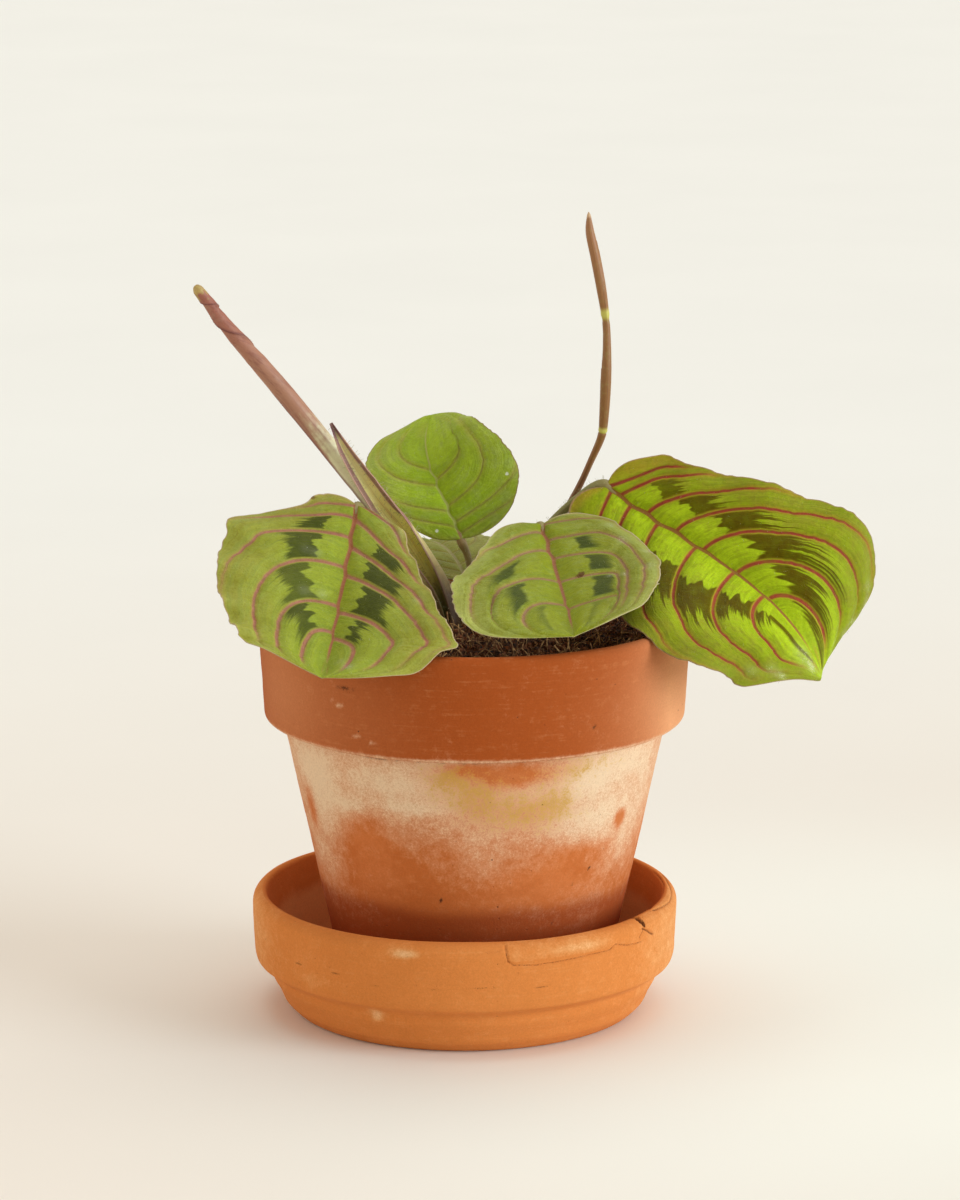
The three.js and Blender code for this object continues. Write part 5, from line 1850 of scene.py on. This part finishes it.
@dataclass
class Studio:
    """The pale floor, the soft lamps and the camera. Places and the floor's radius are in metres."""

    floor_radius: float = 6.0
    camera_place: Point = (0.0046, -1.5, 0.4576)
    camera_pitch: float = 77.5
    camera_lens: float = 153.9
    sensor: float = 36.0
    # Centre and reach in mm of the pool of light painted on the floor.
    glow_mm: tuple[float, float] = (120.0, -20.0)
    glow_reach_mm: float = 300.0
    world_colour: str = "#fcf6ee"
    world_strength: float = 0.5
    lamps: tuple[Lamp, ...] = (
        Lamp("key_from_the_right", 68.0, 10.0, 0.95, 40.0, "#e6f3ff"),
        Lamp("fill_from_the_left", -80.0, 9.0, 0.26, 50.0, "#fff8ee"),
        Lamp("top_light", 150.0, 74.0, 0.36, 60.0, "#fffaf4"),
    )

    FLOOR_RINGS_MM = (100.0, 400.0, 1500.0)
    FLOOR_AROUND = 64

    def floor_finish(self) -> bpy.types.Material:
        """Build the cream paper: paler towards the back and with a pool of light right of the saucer, both
        painted light, faint clouds and a fine tooth.
        """
        r = Recipe("cream_paper")
        place = r.place()
        x, y = r.parts(place)[:2]
        cloud = r.noise(place, 0.006, 3, 0.5)
        tooth = r.noise(place, 1.5, 2, 0.6)
        # Painted light: the paper turns paler towards the back.
        far = r.rise(y, -60.0, 900.0)
        colour = r.mix(far, "#efe8dc", "#f1f1ea")
        # Painted light: a pool of near-white on the floor right of the saucer.
        right_x, right_y = x - self.glow_mm[0], y - self.glow_mm[1]
        glow = 1 - r.rise(r.maths("SQRT", right_x * right_x + right_y * right_y), 60.0, self.glow_reach_mm)
        colour = r.mix(glow * 0.9, colour, "#f8fbf2")
        colour = r.shaded(colour, (cloud - 0.5) * 0.05 + (tooth - 0.5) * 0.02 + 1.0)
        return r.finish(colour, 0.9, tooth * 0.05, 0.3)

    def build(self) -> None:
        """Lay the floor, hang the lamps and set up the camera."""
        angle = full_turn(self.FLOOR_AROUND)
        radii = np.array([*self.FLOOR_RINGS_MM, self.floor_radius / MM])[:, None]
        disc = np.stack([radii * np.cos(angle), radii * np.sin(angle), radii * 0 + angle * 0], -1)
        skin = capped_rings(disc[::-1])
        skin.faces = [skin.faces[0], skin.faces[2]]
        skin.points[:, 2] += 1e-6
        floor = skin.to_object("floor", self.floor_finish())
        world = bpy.data.worlds.new("studio_air")
        world.use_nodes = True
        air = world.node_tree.nodes["Background"]
        air.inputs["Color"].default_value = paint(self.world_colour)
        air.inputs["Strength"].default_value = self.world_strength
        bpy.context.scene.world = world
        for lamp in self.lamps:
            lamp.hang()
        lens = bpy.data.cameras.new("camera")
        lens.lens = self.camera_lens
        lens.sensor_width = self.sensor
        camera = put("camera", lens)
        camera.location = self.camera_place
        camera.rotation_euler = (math.radians(self.camera_pitch), 0.0, 0.0)
        bpy.context.scene.camera = camera
        bpy.context.scene.view_settings.view_transform = "Standard"


LEFT_LOOK = LeafLook(
    "left_leaf_skin", "#95a129", "#989830", "#a9aa44", "#3d4500", "#a8705a", "#a86848", "#c0a488",
    vein_width=0.64, rib_width=0.75, rib_fade=0.7, bloom=0.25, inset=0.75,
)
MIDDLE_LOOK = LeafLook(
    "middle_leaf_skin", "#8d9717", "#858a1c", "#ced676", "#3a4706", "#9c7458", "#a06848", "#c0ae90",
    vein_width=0.56, vein_strength=0.9, rib_width=0.7, rib_fade=0.78, bloom=0.4, softness=0.026, inset=1.6,
    teeth=0.05, feather=0.05, slant=0.04,
)
RIGHT_LOOK = LeafLook(
    "right_leaf_skin", "#b3cc1e", "#9ba71c", "#8a9a24", "#594b00", "#a04634", "#a0703c", "#a9846a",
    dust="#9c8c34", under="#8e7562", deep="#5e6a08", lint_and_sheen="#ccd09a", deep_share=0.42, tip_shade=0.18,
    vein_width=0.58, fringe="#ae8c2c", vein_end=0.6, rib_width=0.42, rib_lines=0.9, gloss=0.16,
    sheen="#dce094", roughness=0.4, inset=0.5, feather=0.2, fibre=0.5,
)
BACK_LOOK = LeafLook(
    "back_leaf_skin", "#9fb91e", "#a1b52f", "#a4b43a", "#5d7a26", "#8f7f45", "#adb45c", "#8d6a55",
    vein_width=0.35, vein_strength=0.5, fringe_share=0.25, vein_end=0.3, rib_width=0.45, bloom=0.4,
    roughness=0.42, fibre=0.34,
)
LOW_LOOK = LeafLook(
    "low_leaf_skin", "#929139", "#928f3d", "#989a48", "#4f5a32", "#8a7a58", "#a39a68", "#9a8f6a",
    vein_width=0.4, vein_strength=0.3, fringe_share=0.2, rib_width=0.6,
)

LEFT_LEAF = Blade(
    "left_leaf", "muted_leaf",
    ((-31.9, -3, 154.4), (-35.2, -28, 138.8), (-39, -52.7, 117.5), (-40.8, -70, 117.7)),
    (2, 4),
    Half(
        (25, 38.5, 34.5, 30.5, 35), (17, 19, 25), (-14, -12, -8), 7, -1.25,
        Veins((0.008, 0.063, 0.153, 0.289, 0.474, 0.613), (1.6, 0.93, 0.59, 0.05, 0.11), 0.14, 0.5),
        ((1, 0.44, 0.64, 1), (2, 0.29, 0.52, 1), (3, 0.25, 0.46, 0.85), (4, 0.2, 0.37, 0.95)),
        ((0.11, -5.8), (0.24, 2)),
        ((0.028, 0.7, 0.004), (0.045, -0.8, 0.004), (0.3, -0.7, 0.012), (0.86, 0.8, 0.01)),
        (
            (0.273, 0.35, 2.6, 0.3), (0.272, 0.24, 2.2, 0.35), (0.454, 0.3, 2.8, 0.35),
            (0.445, 0.15, 2.4, 0.42), (0.08, 0.97, 1.6, -0.7), (0.208, 0.88, 2.0, 0.35),
        ),
    ),
    Half(
        (25, 23.5, 28.5, 36, 34), (9, 20, 12), (-20, -12, -17), -3, -1.2,
        Veins((-0.108, 0.065, 0.191, 0.322, 0.501, 0.642), (1.17, 0.87, 0.53, 0.07, 0.06), 0.174, 1.12),
        ((1, 0.42, 0.74, 1), (2, 0.30, 0.68, 1), (3, 0.22, 0.5, 1), (4, 0.15, 0.27, 1)),
        ((0.07, 3.0), (0.72, 2.6)),
        (),
        (
            (0.908, 0.29, 2.4, 0.5), (0.841, 0.14, 2.2, 0.4), (0.054, 0.82, 2.8, 0.4),
            (0.114, 0.87, 3.2, 0.38), (0.481, 0.83, 2.6, 0.36),
        ),
    ),
    0.41, 1.5, 5.5, LEFT_LOOK, quilt=1.1,
)
MIDDLE_LEAF = Blade(
    "middle_leaf", "muted_leaf",
    ((23, 2.5, 147.4), (27.2, -19.7, 137), (30.7, -44.8, 131.3), (31.6, -62.5, 128.1)),
    (1.5, -9.5),
    Half(
        (28, 23.5, 29, 31, 36.5), (13, 17, 14), (-15, -11, -13), 2, 2.05,
        Veins((0.064, 0.191, 0.433, 0.65), (1.6, 0.87, 0.8, 0.34, 0.09), 0.194, 0.58),
        ((1, 0.45, 0.65, 0.95), (2, 0.36, 0.53, 1), (3, 0.2, 0.3, 0.6)),
        (), (), ((0.305, 0.216, 0.6, -0.65), (0.545, 0.456, 0.7, -0.65)),
    ),
    Half(
        (29.5, 29.5, 27, 25, 24.5), (15, 14, 19), (-13, -14.5, -9.5), 7.9, 3.7,
        Veins((0.001, 0.111, 0.247, 0.435, 0.689), (1, 0.66, 0.56, 0.55, 0.13), 0.037, 0.95),
        ((1, 0.36, 0.57, 1), (2, 0.33, 0.56, 1), (3, 0.3, 0.54, 1), (4, 0.26, 0.37, 0.45)),
        ((0.21, -2.3), (0.64, -1.1)),
        (),
        (
            (0.436, 0.204, 1.3, -0.85), (0.43, 0.25, 0.9, -0.7), (0.17, 0.9, 2.4, 0.42),
            (0.258, 0.836, 3.0, 0.45), (0.36, 0.96, 2.4, 0.5), (0.502, 0.88, 2.6, 0.42),
            (0.516, 0.488, 1.8, 0.45), (0.525, 0.636, 1.8, 0.5),
        ),
    ),
    0.35, 1.2, 3.5, MIDDLE_LOOK, quilt=1.0,
)
RIGHT_LEAF = Blade(
    "right_leaf", "bright_leaf",
    ((42.6, 11, 157.5), (65.5, 3, 141), (97, -22.8, 133.7), (105.8, -19, 105.8)),
    (-73, -27),
    Half(
        (27.5, 29.5, 39, 37.5, 15), (11, 28, 7), (-15, -1, -19), 10.4, 0.1,
        Veins((0.023, 0.105, 0.213, 0.36, 0.511, 0.639), (1.6, 1.15, 0.84, 0.32, 0.05), 0.241, 0.58),
        ((1, 0.4, 0.66, 0.8), (2, 0.35, 0.68, 1), (3, 0.3, 0.6, 1), (4, 0.18, 0.38, 1), (5, 0.12, 0.22, 1)),
        ((0.86, 6.7),),
        (),
        # Scuffs; the broad one near the tip, 6 mm across, is painted sheen.
        (
            (0.863, 0.672, 3.0, 0.42), (0.829, 0.792, 3.0, 0.45), (0.943, 0.336, 2.4, 0.45),
            (0.9, 0.85, 2.4, 0.5), (0.89, 0.2, 6.0, 0.5),
        ),
    ),
    Half(
        (25.5, 23, 28, 38, 32), (7, 13, 8), (-19.5, -13.5, -17.5), 3.2, 1.75,
        Veins((0.001, 0.057, 0.166, 0.276, 0.385, 0.519, 0.658), (1.6, 1.15, 0.61, 0.15, 0.06), 0.252, 0.68),
        (
            (1, 0.42, 0.68, 0.85), (2, 0.4, 0.64, 1), (3, 0.35, 0.64, 1), (4, 0.28, 0.54, 1),
            (5, 0.19, 0.34, 1), (6, 0.09, 0.18, 1),
        ),
        ((0.14, 1.6),),
        (),
        (
            (0.896, 0.776, 2.6, 0.55), (0.88, 0.972, 2.6, 0.6), (0.912, 0.624, 2.4, 0.42),
            (0.829, 0.904, 3.0, 0.45), (0.93, 0.9, 2.4, 0.5),
        ),
    ),
    0.4, 1.4, 4.5, RIGHT_LOOK, quilt=1.15,
)
BACK_LEAF = Blade(
    "back_leaf", "plain_leaf",
    ((-1.1, 16, 140.4), (-9.2, 19.5, 159), (-15.1, 27.5, 166.3), (-10, 40, 174)),
    (-16.5, 42),
    Half(
        (31.5, 28, 24, 21, 21), (7, 12, 22), (-18, -15, -7), 3, 2.7,
        Veins((0.023, 0.09, 0.191, 0.38), (1.56, 0.61, 0.63, 0.44, 0.11), 0.102, 0.81),
        (), (), (), ((0.254, 0.852, 0.5, 1.5),),
    ),
    Half(
        (21.5, 16, 17.5, 22, 17.5), (7, 23, -2.5), (-18.5, -7, -26), -1.5, -0.45,
        Veins((0.058, 0.154, 0.332, 0.457), (1.6, 1.03, 0.35, 0.05, 0.07), 0.147, 1.3),
        (), (), (), ((0.078, 0.576, 0.5, 1.5),),
    ),
    0.52, 0.6, 4, BACK_LOOK, (0, -1, 0), quilt=0.3,
)
LOW_VEINS = Veins((0.03, 0.14, 0.3, 0.5), (1.4, 0.9, 0.5, 0.2, 0.08), 0.17, 0.8)
LOW_LEAF = Blade(
    "low_leaf", "grey_leaf",
    ((0, 23.5, 127), (-4, 38, 134), (-11, 55, 134), (-15, 69, 127)),
    (0, 0),
    Half((15, 17, 17.5, 17, 14), (10, 8, 6), (-16, -14, -14), 3, 1.0, LOW_VEINS),
    Half((15, 17, 18, 17, 14), (10, 8, 6), (-16, -14, -14), 3, 2.5, LOW_VEINS),
    0.5, 0.9, 4.5, LOW_LOOK,
)

GREEN_STALK = StemLook("green_stalk", "#5b4a2c", "#8d8a4a", "#a08a5c", "#7c4b3c", 0.45)
TAN_STALK = StemLook("tan_stalk", "#4e4428", "#8a7a3e", "#b58a55", "#8a5a3c", 0.5)
STALKS = (
    Stalk("left_stalk", LEFT_LEAF, 1.3, (-12, -6), ((-18, -8, 131), (-27, -6, 146)), GREEN_STALK),
    Stalk("middle_stalk", MIDDLE_LEAF, 1.2, (8.5, 2), ((13, 4.5, 131), (19.5, 5.5, 143)), GREEN_STALK),
    Stalk("right_stalk", RIGHT_LEAF, 1.4, (10, 13), ((20, 18, 137), (32, 19, 150.5)), GREEN_STALK),
    Stalk("back_stalk", BACK_LEAF, 1.2, (3.2, 15), ((2, 16, 130), (0.5, 17, 136)), TAN_STALK),
    Stalk("low_stalk", LOW_LEAF, 1.1, (-3, 21.5), ((-2.4, 21, 121), (-1.4, 21.4, 124)), GREEN_STALK),
)


def main() -> None:
    """Build the studio and every piece in order, then log each piece's face count."""
    logging.basicConfig(level=logging.INFO, format="%(message)s")
    Studio().build()
    makers = (
        Saucer(), Pot(), Peat(), LEFT_LEAF, MIDDLE_LEAF, RIGHT_LEAF, BACK_LEAF, LOW_LEAF, *STALKS,
        RolledLeaf(), Sheath(), FlowerStem(),
    )
    for maker in makers:
        for piece in maker.build():
            LOG.info("%s: %d faces", piece.name, len(piece.data.polygons))


if __name__ == "__main__":
    main()
